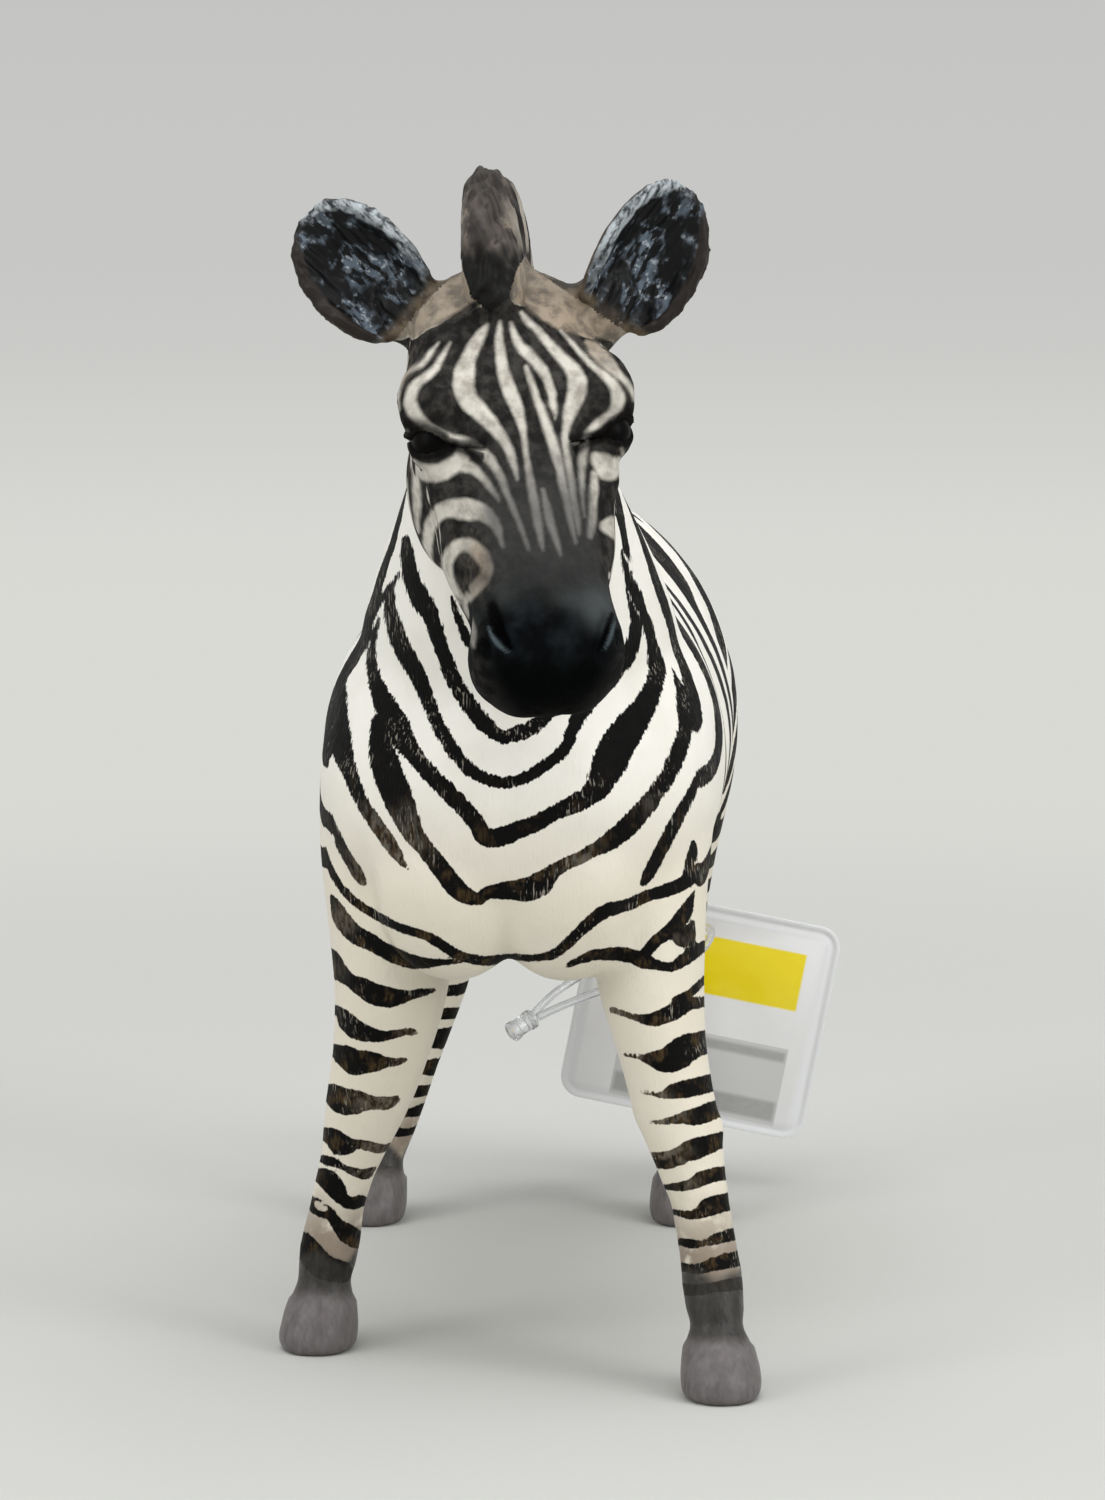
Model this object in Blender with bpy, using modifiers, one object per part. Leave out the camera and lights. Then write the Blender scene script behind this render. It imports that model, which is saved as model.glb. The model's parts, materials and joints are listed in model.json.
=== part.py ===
"""Toy zebra: a moulded animal figure with a swing tag on a loop round one hind leg.

Metres, +Z up. The figure faces -Y and stands on Z = 0, its left side towards +X.
The origin is on the floor, under the middle of the figure's own bounding box.
"""

import math

import bmesh
import bpy
from mathutils import Matrix, Vector

# Driving sizes of the figure
WITHERS_HEIGHT = 0.068
TRUNK_LENGTH = 0.074
TRUNK_WIDTH = 0.033
NECK_DEPTH = 0.022
HEAD_LENGTH = 0.0304
HEAD_WIDTH = 0.0174
HEAD_DEPTH = 0.0165
HOOF_WIDTH = 0.0058
EAR_LENGTH = 0.0122
EAR_WIDTH = 0.0080
EAR_WALL = 0.0009
MANE_THICKNESS = 0.0043
MANE_SEAT_DEPTH = 0.0013
EYE_DIAMETER = 0.0042
NOSTRIL_LENGTH = 0.0026
TAIL_THICKNESS = 0.0032

# How the castings meet
GAP = 0.0003
LEG_PEG_DIAMETER = 0.0026
LEG_PEG_LENGTH = 0.0040
NECK_PEG_DIAMETER = 0.0044
NECK_PEG_LENGTH = 0.0045
EAR_PEG_DIAMETER = 0.0018
TAIL_PEG_DIAMETER = 0.0018
SMALL_PEG_LENGTH = 0.0030

# The tag and its loop
LOOP_DIAMETER = 0.0007
LOCK_DIAMETER = 0.0018
LOCK_LENGTH = 0.0024
CARD_WIDTH = 0.0228
CARD_HEIGHT = 0.0200
CARD_THICKNESS = 0.0005
CARD_CORNER_RADIUS = 0.0020
LEAFLET_MARGIN = 0.0005
LEAFLET_THICKNESS = 0.0010
TAG_HOLE_DIAMETER = 0.0040

# Fineness of the faceted castings
BODY_GRAIN = 0.00055
HEAD_GRAIN = 0.00036
EAR_GRAIN = 0.00028
BODY_FACES_SHARE = 0.045
HEAD_FACES_SHARE = 0.044
EAR_FACES_SHARE = 0.047

# Angles
HEAD_PITCH = math.radians(62)
HEAD_YAW = math.radians(14)
HEAD_ROLL = math.radians(3)
NECK_SEAM_TILT = math.radians(21)
CARD_TILT = math.radians(11)

# Trunk, chest to buttock: place along the trunk's length, half width in trunk widths,
# top and bottom in withers heights
TRUNK_SHARES = (
    (0.000, 0.10, 0.700, 0.600),
    (0.020, 0.24, 0.780, 0.530),
    (0.080, 0.410, 0.875, 0.478),
    (0.170, 0.480, 0.955, 0.457),
    (0.290, 0.490, 0.985, 0.457),
    (0.420, 0.490, 0.965, 0.470),
    (0.560, 0.500, 0.955, 0.485),
    (0.690, 0.490, 0.965, 0.530),
    (0.800, 0.470, 0.975, 0.570),
    (0.900, 0.420, 0.955, 0.600),
    (0.965, 0.310, 0.900, 0.640),
    (1.000, 0.150, 0.820, 0.700),
)
TRUNK_BELT_SHARE = 0.42
BACK_FULLNESS = 1.7
BELLY_FULLNESS = 2.2

# Neck, shoulders to poll: along the trunk, height in withers heights,
# half width in trunk widths, half depth in neck depths
NECK_SHARES = (
    (0.290, 0.735, 0.430, 0.77),
    (0.182, 0.853, 0.370, 0.64),
    (0.108, 0.956, 0.275, 0.51),
    (0.054, 1.051, 0.200, 0.42),
    (0.013, 1.132, 0.175, 0.34),
    (-0.007, 1.176, 0.150, 0.26),
)
NECK_FULLNESS = 1.9
# Where the head's flat seam crosses the neck, along the trunk and in withers heights
NECK_SEAM_SHARES = (0.045, 1.095)

# Head, crown to lips: place along the head, half width in head widths, distance from the
# head's axis to the nose line and to the jaw line in head depths, fullness of the face
HEAD_SHARES = (
    (-0.12, 0.20, 0.06, 0.06, 2.0),
    (-0.07, 0.31, 0.15, 0.20, 2.2),
    (0.02, 0.38, 0.23, 0.36, 2.4),
    (0.12, 0.42, 0.28, 0.50, 2.5),
    (0.25, 0.45, 0.30, 0.62, 2.5),
    (0.38, 0.43, 0.29, 0.66, 2.3),
    (0.50, 0.38, 0.28, 0.61, 2.0),
    (0.62, 0.32, 0.27, 0.49, 1.9),
    (0.74, 0.285, 0.28, 0.40, 2.0),
    (0.86, 0.325, 0.30, 0.37, 2.3),
    (0.94, 0.33, 0.25, 0.33, 2.3),
    (0.99, 0.25, 0.14, 0.22, 2.1),
    (1.02, 0.10, 0.04, 0.09, 2.0),
)
JAW_FULLNESS = 2.1
# Origin of the head's axes: sideways in trunk widths, along the trunk, in withers heights
POLL_SHARES = (-0.009, -0.027, 1.199)

# Legs, top to floor: height in withers heights, out from the middle in trunk widths,
# along the trunk, half width and half depth in hoof widths
FORELEG_LEFT_SHARES = (
    (0.765, 0.300, 0.270, 0.80, 1.20),
    (0.647, 0.310, 0.225, 0.92, 1.60),
    (0.545, 0.305, 0.175, 0.78, 1.45),
    (0.456, 0.312, 0.135, 0.76, 1.08),
    (0.397, 0.336, 0.112, 0.61, 0.86),
    (0.335, 0.365, 0.092, 0.55, 0.64),
    (0.294, 0.391, 0.080, 0.57, 0.58),
    (0.250, 0.416, 0.072, 0.44, 0.46),
    (0.190, 0.450, 0.058, 0.37, 0.41),
    (0.140, 0.467, 0.048, 0.38, 0.44),
    (0.112, 0.475, 0.042, 0.42, 0.48),
    (0.082, 0.480, 0.030, 0.34, 0.38),
    (0.060, 0.486, 0.022, 0.43, 0.47),
    (0.028, 0.493, 0.012, 0.50, 0.58),
    (-0.015, 0.499, 0.004, 0.55, 0.66),
)
FORELEG_RIGHT_SHARES = (
    (0.765, -0.300, 0.270, 0.80, 1.20),
    (0.647, -0.320, 0.230, 0.95, 1.60),
    (0.545, -0.305, 0.195, 0.88, 1.45),
    (0.456, -0.290, 0.170, 0.80, 1.08),
    (0.397, -0.300, 0.168, 0.72, 0.88),
    (0.335, -0.328, 0.175, 0.62, 0.66),
    (0.285, -0.358, 0.182, 0.59, 0.59),
    (0.240, -0.385, 0.190, 0.43, 0.46),
    (0.180, -0.430, 0.198, 0.35, 0.41),
    (0.140, -0.446, 0.204, 0.38, 0.44),
    (0.112, -0.456, 0.204, 0.42, 0.48),
    (0.082, -0.464, 0.200, 0.34, 0.38),
    (0.060, -0.470, 0.196, 0.43, 0.47),
    (0.028, -0.478, 0.191, 0.50, 0.58),
    (-0.015, -0.484, 0.187, 0.55, 0.66),
)
HINDLEG_LEFT_SHARES = (
    (0.800, 0.260, 0.860, 1.00, 1.60),
    (0.700, 0.280, 0.850, 1.20, 1.95),
    (0.610, 0.285, 0.830, 1.15, 1.85),
    (0.530, 0.285, 0.825, 0.95, 1.45),
    (0.460, 0.290, 0.845, 0.72, 1.08),
    (0.390, 0.300, 0.885, 0.55, 0.76),
    (0.335, 0.306, 0.918, 0.48, 0.66),
    (0.285, 0.312, 0.918, 0.44, 0.54),
    (0.230, 0.320, 0.903, 0.36, 0.42),
    (0.160, 0.330, 0.888, 0.36, 0.42),
    (0.118, 0.336, 0.876, 0.42, 0.49),
    (0.086, 0.342, 0.862, 0.34, 0.39),
    (0.060, 0.345, 0.850, 0.43, 0.48),
    (0.028, 0.348, 0.843, 0.50, 0.59),
    (-0.015, 0.350, 0.836, 0.55, 0.67),
)
HINDLEG_RIGHT_SHARES = (
    (0.800, -0.260, 0.860, 1.00, 1.60),
    (0.700, -0.280, 0.850, 1.20, 1.95),
    (0.610, -0.280, 0.825, 1.15, 1.85),
    (0.530, -0.270, 0.815, 0.95, 1.45),
    (0.460, -0.288, 0.830, 0.72, 1.08),
    (0.390, -0.298, 0.868, 0.55, 0.76),
    (0.335, -0.310, 0.900, 0.48, 0.66),
    (0.285, -0.330, 0.902, 0.44, 0.54),
    (0.230, -0.362, 0.889, 0.36, 0.42),
    (0.160, -0.414, 0.870, 0.36, 0.42),
    (0.118, -0.448, 0.858, 0.42, 0.49),
    (0.086, -0.468, 0.844, 0.34, 0.39),
    (0.060, -0.482, 0.832, 0.43, 0.48),
    (0.028, -0.492, 0.823, 0.50, 0.59),
    (-0.015, -0.500, 0.816, 0.55, 0.67),
)
LEG_TABLES = (
    ("foreleg_left", FORELEG_LEFT_SHARES),
    ("foreleg_right", FORELEG_RIGHT_SHARES),
    ("hindleg_left", HINDLEG_LEFT_SHARES),
    ("hindleg_right", HINDLEG_RIGHT_SHARES),
)
# Height of the seam at the top of a leg, and how far the leg's zone reaches along the trunk
LEG_SEAM_SHARES = {"foreleg": 0.449, "hindleg": 0.500}
LEG_ZONE_SHARES = {"foreleg": (-0.25, 0.42), "hindleg": (0.60, 1.25)}

# Mane, forehead to withers: its seat on the crest, then its upper edge, each as a place
# along the trunk and a height in withers heights
MANE_SHARES = (
    (-0.070, 1.200, -0.108, 1.196),
    (-0.062, 1.212, -0.118, 1.262),
    (-0.040, 1.222, -0.088, 1.336),
    (-0.014, 1.228, -0.046, 1.361),
    (0.010, 1.224, -0.002, 1.368),
    (0.036, 1.210, 0.042, 1.346),
    (0.062, 1.192, 0.082, 1.316),
    (0.092, 1.166, 0.120, 1.272),
    (0.122, 1.136, 0.158, 1.234),
    (0.154, 1.104, 0.196, 1.184),
    (0.188, 1.072, 0.232, 1.136),
    (0.224, 1.040, 0.264, 1.080),
    (0.262, 1.008, 0.292, 1.030),
    (0.300, 0.982, 0.312, 0.990),
)
MANE_TUFT_SHARE = 0.10
MANE_LEAN_SHARE = 0.17
MANE_FULLNESS = 3.0

# Tail, dock to tip: along the trunk, sideways in trunk widths, height in withers heights,
# half thickness in tail thicknesses
TAIL_SHARES = (
    (0.950, 0.00, 0.895, 0.60),
    (0.990, 0.00, 0.893, 0.60),
    (1.026, 0.00, 0.872, 0.58),
    (1.054, -0.005, 0.820, 0.52),
    (1.072, -0.015, 0.745, 0.46),
    (1.080, -0.030, 0.660, 0.44),
    (1.084, -0.050, 0.585, 0.60),
    (1.084, -0.075, 0.510, 0.80),
    (1.080, -0.100, 0.440, 0.66),
    (1.074, -0.120, 0.390, 0.26),
)
TAIL_DOCK_SHARES = (0.985, 0.888)

# Features of the head, in the head's own axes: sideways in head widths,
# along the head, and forwards from its axis in head depths
EYE_SHARES = (0.340, 0.358, 0.110)
BROW_SHARES = (0.345, 0.262, 0.150)
BROW_RADII_SHARES = (0.155, 0.120, 0.140)
CHEEK_SHARES = (0.235, 0.370, -0.330)
CHEEK_RADII_SHARES = (0.190, 0.220, 0.300)
NOSTRIL_SHARES = (0.245, 0.895, 0.120)
NOSTRIL_RADII_SHARES = (0.45, 0.50, 0.42)
# Breast muscles: out from the middle in trunk widths, along the trunk, height in withers
# heights, and their radii in the same sizes
BREAST_SHARES = (0.130, 0.072, 0.560)
BREAST_RADII_SHARES = (0.180, 0.068, 0.105)

# Ears: root out from the middle in trunk widths, along the trunk, height in withers heights,
# then the way the ear points and the way its cup opens
EAR_PLACE_SHARES = {
    "ear_right": ((-0.165, -0.020, 1.188), (-0.74, 0.05, 0.67), (-0.12, -0.98, -0.05)),
    "ear_left": ((0.195, -0.015, 1.190), (0.56, 0.05, 0.83), (0.50, -0.86, -0.05)),
}
# Ear outline, root to tip: along the ear, half width in ear widths, wrap of the cup in degrees
EAR_SHARES = (
    (0.10, 0.30, 100),
    (0.22, 0.41, 88),
    (0.38, 0.49, 76),
    (0.55, 0.51, 68),
    (0.72, 0.47, 63),
    (0.86, 0.37, 60),
    (0.96, 0.21, 57),
    (1.00, 0.07, 55),
)
# Ear root: along the ear, radius in ear widths
EAR_ROOT_SHARES = ((-0.24, 0.24), (-0.02, 0.29), (0.14, 0.30), (0.30, 0.24), (0.40, 0.10))
EAR_PEG_RISE_SHARE = 0.7

# The loop's route from one end in its lock, round the hind leg and through the tag, to the other
# end, in metres from the loop's pivot in the leg's axis, and the run that goes through the tag
LOOP_ROUTE = (
    (-0.0118, -0.0102, -0.0046),
    (-0.0100, -0.0080, -0.0030),
    (-0.0070, -0.0045, -0.0014),
    (-0.0056, 0.0000, -0.0010),
    (-0.0060, 0.0045, 0.0000),
    (-0.0078, 0.0082, 0.0006),
    (-0.0092, 0.0106, 0.0008),
    (-0.0082, 0.0126, 0.0008),
    (-0.0058, 0.0124, 0.0006),
    (-0.0032, 0.0102, 0.0004),
    (-0.0004, 0.0080, 0.0006),
    (0.0018, 0.0060, 0.0010),
    (0.0032, 0.0034, 0.0012),
    (0.00355, 0.0000, 0.0010),
    (0.0027, -0.0038, 0.0002),
    (0.0002, -0.0072, -0.0010),
    (-0.0040, -0.0096, -0.0018),
    (-0.0086, -0.0106, -0.0034),
    (-0.0112, -0.0114, -0.0045),
)
LOOP_PIVOT_SHARES = (0.306, 0.905, 0.350)
TAG_RUN = 8
TAG_HOLE_IN_CARD_SHARES = (-0.36, 0.34)

RING_POINTS = 16
MANE_RING_POINTS = 8
TURNED_POINTS = 20


def clear_scene():
    """Remove the start-up objects."""
    for obj in list(bpy.data.objects):
        bpy.data.objects.remove(obj, do_unlink=True)


def new_collection(name):
    collection = bpy.data.collections.new(name)
    bpy.context.scene.collection.children.link(collection)
    return collection


def paint(obj, colour, roughness, metallic=0.0, alpha=1.0):
    """Give an object its own plastic or card finish."""
    material = bpy.data.materials.new(obj.name)
    material.use_nodes = True
    shader = material.node_tree.nodes["Principled BSDF"]
    shader.inputs["Base Color"].default_value = (*colour, 1.0)
    shader.inputs["Roughness"].default_value = roughness
    shader.inputs["Metallic"].default_value = metallic
    shader.inputs["Alpha"].default_value = alpha
    obj.data.materials.clear()
    obj.data.materials.append(material)


def object_from_bmesh(name, mesh_data, collection):
    """Close a bmesh into a named object with its faces pointing out."""
    bmesh.ops.recalc_face_normals(mesh_data, faces=mesh_data.faces)
    mesh = bpy.data.meshes.new(name)
    mesh_data.to_mesh(mesh)
    mesh_data.free()
    obj = bpy.data.objects.new(name, mesh)
    collection.objects.link(obj)
    return obj


def apply_modifiers(obj):
    """Replace an object's mesh with what its modifiers make of it."""
    bpy.context.view_layer.update()
    evaluated = obj.evaluated_get(bpy.context.evaluated_depsgraph_get())
    mesh = bpy.data.meshes.new_from_object(evaluated)
    old = obj.data
    obj.modifiers.clear()
    obj.data = mesh
    bpy.data.meshes.remove(old)
    return obj


def copy_of(obj, name, collection):
    copy = bpy.data.objects.new(name, obj.data.copy())
    collection.objects.link(copy)
    return copy


def join_meshes(name, objects, collection):
    """Put several closed meshes into one object, and remove the originals."""
    mesh_data = bmesh.new()
    for obj in objects:
        mesh_data.from_mesh(obj.data)
        bpy.data.objects.remove(obj, do_unlink=True)
    mesh = bpy.data.meshes.new(name)
    mesh_data.to_mesh(mesh)
    mesh_data.free()
    joined = bpy.data.objects.new(name, mesh)
    collection.objects.link(joined)
    return joined


def boolean(obj, cutter, operation):
    """Cut, join or keep the common part with one cutter, which is then removed."""
    modifier = obj.modifiers.new(operation.lower(), "BOOLEAN")
    modifier.operation = operation
    modifier.object = cutter
    apply_modifiers(obj)
    bpy.data.objects.remove(cutter, do_unlink=True)


def box(name, low, high, collection):
    """A box between two corners."""
    mesh_data = bmesh.new()
    size = Vector(high) - Vector(low)
    middle = (Vector(high) + Vector(low)) / 2
    matrix = Matrix.Translation(middle) @ Matrix.Diagonal((*size, 1))
    bmesh.ops.create_cube(mesh_data, size=1, matrix=matrix)
    return object_from_bmesh(name, mesh_data, collection)


def rod(name, start, end, diameter, collection):
    """A round peg between two points."""
    axis = Vector(end) - Vector(start)
    middle = (Vector(end) + Vector(start)) / 2
    turn = axis.to_track_quat("Z", "Y").to_matrix().to_4x4()
    mesh_data = bmesh.new()
    bmesh.ops.create_cone(
        mesh_data, cap_ends=True, segments=TURNED_POINTS, radius1=diameter / 2,
        radius2=diameter / 2, depth=axis.length, matrix=Matrix.Translation(middle) @ turn,
    )
    return object_from_bmesh(name, mesh_data, collection)


def ellipsoid(name, centre, axes, radii, collection, fineness=TURNED_POINTS):
    """A ball stretched along three given directions."""
    mesh_data = bmesh.new()
    turn = Matrix((axes[0], axes[1], axes[2])).transposed().to_4x4()
    matrix = Matrix.Translation(centre) @ turn @ Matrix.Diagonal((*radii, 1))
    bmesh.ops.create_uvsphere(
        mesh_data, u_segments=fineness, v_segments=fineness // 2, radius=1, matrix=matrix
    )
    return object_from_bmesh(name, mesh_data, collection)


def superellipse(angle, width, rise, power):
    """A point of an oval that is fuller or leaner than an ellipse."""
    across = math.copysign(abs(math.cos(angle)) ** (2 / power), math.cos(angle)) * width
    up = math.copysign(abs(math.sin(angle)) ** (2 / power), math.sin(angle)) * rise
    return across, up


def loft(name, rings, collection, fineness=2):
    """Skin a row of rings that have the same number of points, close both ends and round it."""
    mesh_data = bmesh.new()
    rows = [[mesh_data.verts.new(point) for point in ring] for ring in rings]
    count = len(rings[0])
    for row, following in zip(rows, rows[1:]):
        for index in range(count):
            beside = (index + 1) % count
            mesh_data.faces.new((row[index], row[beside], following[beside], following[index]))
    mesh_data.faces.new(rows[0])
    mesh_data.faces.new(rows[-1])
    form = object_from_bmesh(name, mesh_data, collection)
    rounding = form.modifiers.new("rounding", "SUBSURF")
    rounding.levels = fineness
    rounding.render_levels = fineness
    return apply_modifiers(form)


def breast_forms(collection):
    """Two muscles on the breast."""
    sizes = (TRUNK_WIDTH, TRUNK_LENGTH, WITHERS_HEIGHT)
    axes = (Vector((1, 0, 0)), Vector((0, 1, 0)), Vector((0, 0, 1)))
    radii = [share * size for share, size in zip(BREAST_RADII_SHARES, sizes)]
    forms = []
    for side in (-1, 1):
        centre = [share * size for share, size in zip(BREAST_SHARES, sizes)]
        centre[0] *= side
        forms.append(ellipsoid("breast_form", Vector(centre), axes, radii, collection))
    return forms


def trunk_form(collection):
    """The barrel, from the breast to the buttocks."""
    rings = []
    for along, half_width, top, bottom in TRUNK_SHARES:
        low = bottom * WITHERS_HEIGHT
        high = top * WITHERS_HEIGHT
        belt = low + TRUNK_BELT_SHARE * (high - low)
        ring = []
        for index in range(RING_POINTS):
            angle = 2 * math.pi * index / RING_POINTS
            upper = math.sin(angle) > 0
            rise = (high - belt) if upper else (belt - low)
            power = BACK_FULLNESS if upper else BELLY_FULLNESS
            across, up = superellipse(angle, half_width * TRUNK_WIDTH, rise, power)
            ring.append((across, along * TRUNK_LENGTH, belt + up))
        rings.append(ring)
    return loft("trunk_form", rings, collection)


def neck_form(collection):
    """The neck, leaning forwards from the shoulders to the poll."""
    centres = [
        Vector((0, along * TRUNK_LENGTH, height * WITHERS_HEIGHT))
        for along, height, _, _ in NECK_SHARES
    ]
    rings = []
    for index, (_, _, half_width, half_depth) in enumerate(NECK_SHARES):
        before = centres[max(index - 1, 0)]
        after = centres[min(index + 1, len(centres) - 1)]
        axis = (after - before).normalized()
        back = axis.cross(Vector((1, 0, 0))).normalized()
        ring = []
        for step in range(RING_POINTS):
            angle = 2 * math.pi * step / RING_POINTS
            across, up = superellipse(
                angle, half_width * TRUNK_WIDTH, half_depth * NECK_DEPTH, NECK_FULLNESS
            )
            ring.append(centres[index] + Vector((across, 0, 0)) - back * up)
        rings.append(ring)
    return loft("neck_form", rings, collection)


def head_axes():
    """Sideways, along the face to the lips, and out of the forehead."""
    side = Vector((math.cos(HEAD_YAW), math.sin(HEAD_YAW), 0))
    ahead = Vector((math.sin(HEAD_YAW), -math.cos(HEAD_YAW), 0))
    along = ahead * math.cos(HEAD_PITCH) - Vector((0, 0, math.sin(HEAD_PITCH)))
    front = ahead * math.sin(HEAD_PITCH) + Vector((0, 0, math.cos(HEAD_PITCH)))
    roll = Matrix.Rotation(HEAD_ROLL, 3, ahead)
    return roll @ side, roll @ along, roll @ front


def head_point(side_share, along_share, front_share):
    """A point of the head, from shares of its width, length and depth."""
    side, along, front = head_axes()
    poll = Vector((
        POLL_SHARES[0] * TRUNK_WIDTH, POLL_SHARES[1] * TRUNK_LENGTH, POLL_SHARES[2] * WITHERS_HEIGHT
    ))
    return (
        poll
        + side * side_share * HEAD_WIDTH
        + along * along_share * HEAD_LENGTH
        + front * front_share * HEAD_DEPTH
    )


def head_form(collection):
    """The skull and muzzle with brows and cheeks, as overlapping closed forms."""
    rings = []
    for along, half_width, nose, jaw, fullness in HEAD_SHARES:
        ring = []
        for step in range(RING_POINTS):
            angle = 2 * math.pi * step / RING_POINTS
            facing = math.sin(angle) > 0
            rise, power = (nose, fullness) if facing else (jaw, JAW_FULLNESS)
            across, up = superellipse(angle, half_width, rise, power)
            ring.append(head_point(across, along, up))
        rings.append(ring)
    forms = [loft("skull_form", rings, collection)]
    axes = head_axes()
    scale = (HEAD_WIDTH, HEAD_LENGTH, HEAD_DEPTH)
    for side in (-1, 1):
        for place, radii in ((BROW_SHARES, BROW_RADII_SHARES), (CHEEK_SHARES, CHEEK_RADII_SHARES)):
            sizes = [share * size for share, size in zip(radii, scale)]
            centre = head_point(side * place[0], place[1], place[2])
            forms.append(ellipsoid("face_form", centre, axes, sizes, collection))
    return forms


def leg_form(name, table, collection):
    """A leg from the shoulder or haunch to below the floor, where the sole is cut flat."""
    rings = []
    for height, out, along, half_width, half_depth in table:
        ring = []
        for step in range(RING_POINTS):
            angle = 2 * math.pi * step / RING_POINTS
            across = half_width * HOOF_WIDTH * math.cos(angle)
            back = half_depth * HOOF_WIDTH * math.sin(angle)
            ring.append(
                (out * TRUNK_WIDTH + across, along * TRUNK_LENGTH + back, height * WITHERS_HEIGHT)
            )
        rings.append(ring)
    return loft(name + "_form", rings, collection)


def blend_forms(name, forms, grain, faces_share, collection):
    """Melt overlapping forms into one skin, smooth it and thin its facets."""
    skin = join_meshes(name, forms, collection)
    melt = skin.modifiers.new("melt", "REMESH")
    melt.mode = "VOXEL"
    melt.voxel_size = grain
    smooth = skin.modifiers.new("smooth", "SMOOTH")
    smooth.factor = 0.5
    smooth.iterations = 6
    thin = skin.modifiers.new("thin", "DECIMATE")
    thin.ratio = faces_share
    return apply_modifiers(skin)


def grown(form, name, amount, collection):
    """A copy of a form swollen outwards by a clearance."""
    copy = copy_of(form, name, collection)
    swell = copy.modifiers.new("swell", "DISPLACE")
    swell.strength = amount
    swell.mid_level = 0
    return apply_modifiers(copy)


def seam_point():
    """Where the head's flat seam crosses the neck's axis."""
    return Vector((0, NECK_SEAM_SHARES[0] * TRUNK_LENGTH, NECK_SEAM_SHARES[1] * WITHERS_HEIGHT))


def seam_normal():
    return Vector((0, -math.cos(NECK_SEAM_TILT), math.sin(NECK_SEAM_TILT)))


def head_zone(name, offset, collection):
    """The half space ahead of the head's seam, as a large tilted box."""
    reach = TRUNK_LENGTH
    normal = seam_normal()
    zone = box(name, (-reach, -reach, 0), (reach, reach, reach), collection)
    turn = normal.to_track_quat("Z", "Y").to_matrix().to_4x4()
    zone.data.transform(Matrix.Translation(seam_point() + normal * offset) @ turn)
    return zone


def leg_zone(name, offset, collection):
    """The block of space that holds one leg below its seam."""
    kind, side = name.split("_")
    front, back = LEG_ZONE_SHARES[kind]
    top = LEG_SEAM_SHARES[kind] * WITHERS_HEIGHT + offset
    inner = GAP
    outer = TRUNK_WIDTH
    low_x, high_x = (inner, outer) if side == "left" else (-outer, -inner)
    low = (low_x, front * TRUNK_LENGTH, -WITHERS_HEIGHT)
    high = (high_x, back * TRUNK_LENGTH, top)
    return box(name + "_zone", low, high, collection)


def seam_centre(name, table):
    """The middle of a leg at the height of its seam."""
    height = LEG_SEAM_SHARES[name.split("_")[0]]
    for upper, lower in zip(table, table[1:]):
        if upper[0] >= height >= lower[0]:
            share = (upper[0] - height) / (upper[0] - lower[0])
            out = upper[1] + share * (lower[1] - upper[1])
            along = upper[2] + share * (lower[2] - upper[2])
            return Vector((out * TRUNK_WIDTH, along * TRUNK_LENGTH, height * WITHERS_HEIGHT))
    return None


def make_leg(name, table, body, parts, cutters):
    """A leg with a flat sole and a peg on top, cut from the body's skin."""
    leg = copy_of(body, name, parts)
    boolean(leg, leg_zone(name, -GAP / 2, cutters), "INTERSECT")
    reach = TRUNK_LENGTH
    sole = box("sole", (-reach, -reach, -reach), (reach, 2 * reach, 0), cutters)
    boolean(leg, sole, "DIFFERENCE")
    seat = seam_centre(name, table)
    up = Vector((0, 0, LEG_PEG_LENGTH))
    peg = rod("peg", seat - up / 2, seat + up, LEG_PEG_DIAMETER, cutters)
    boolean(leg, peg, "UNION")
    paint(leg, (0.80, 0.77, 0.70), 0.45)
    return leg


def make_torso(body, parts, cutters):
    """The trunk and neck with a flat seat and socket for each leg and for the head."""
    torso = copy_of(body, "torso", parts)
    for name, table in LEG_TABLES:
        boolean(torso, leg_zone(name, GAP / 2, cutters), "DIFFERENCE")
        seat = seam_centre(name, table)
        depth = Vector((0, 0, LEG_PEG_LENGTH + GAP))
        width = LEG_PEG_DIAMETER + 2 * GAP
        boolean(torso, rod("socket", seat - depth / 2, seat + depth, width, cutters), "DIFFERENCE")
    boolean(torso, head_zone("head_zone", -GAP / 2, cutters), "DIFFERENCE")
    depth = seam_normal() * (NECK_PEG_LENGTH + GAP)
    socket = rod(
        "socket", seam_point() + depth / 2, seam_point() - depth,
        NECK_PEG_DIAMETER + 2 * GAP, cutters,
    )
    boolean(torso, socket, "DIFFERENCE")
    paint(torso, (0.82, 0.80, 0.74), 0.40)
    return torso


def make_head(face, parts, cutters):
    """The head with eye sockets, nostrils and the peg that plugs it into the neck."""
    head = copy_of(face, "head", parts)
    boolean(head, head_zone("head_zone", GAP / 2, cutters), "INTERSECT")
    reach = seam_normal() * NECK_PEG_LENGTH
    peg = rod("peg", seam_point() + reach / 2, seam_point() - reach, NECK_PEG_DIAMETER, cutters)
    boolean(head, peg, "UNION")
    axes = head_axes()
    for side in (-1, 1):
        radius = EYE_DIAMETER / 2 + GAP
        centre = head_point(side * EYE_SHARES[0], EYE_SHARES[1], EYE_SHARES[2])
        boolean(head, ellipsoid("orbit", centre, axes, (radius,) * 3, cutters), "DIFFERENCE")
        centre = head_point(side * NOSTRIL_SHARES[0], NOSTRIL_SHARES[1], NOSTRIL_SHARES[2])
        radii = [NOSTRIL_LENGTH * share for share in NOSTRIL_RADII_SHARES]
        boolean(head, ellipsoid("nostril", centre, axes, radii, cutters, 12), "DIFFERENCE")
    paint(head, (0.62, 0.59, 0.53), 0.55)
    return head


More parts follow.
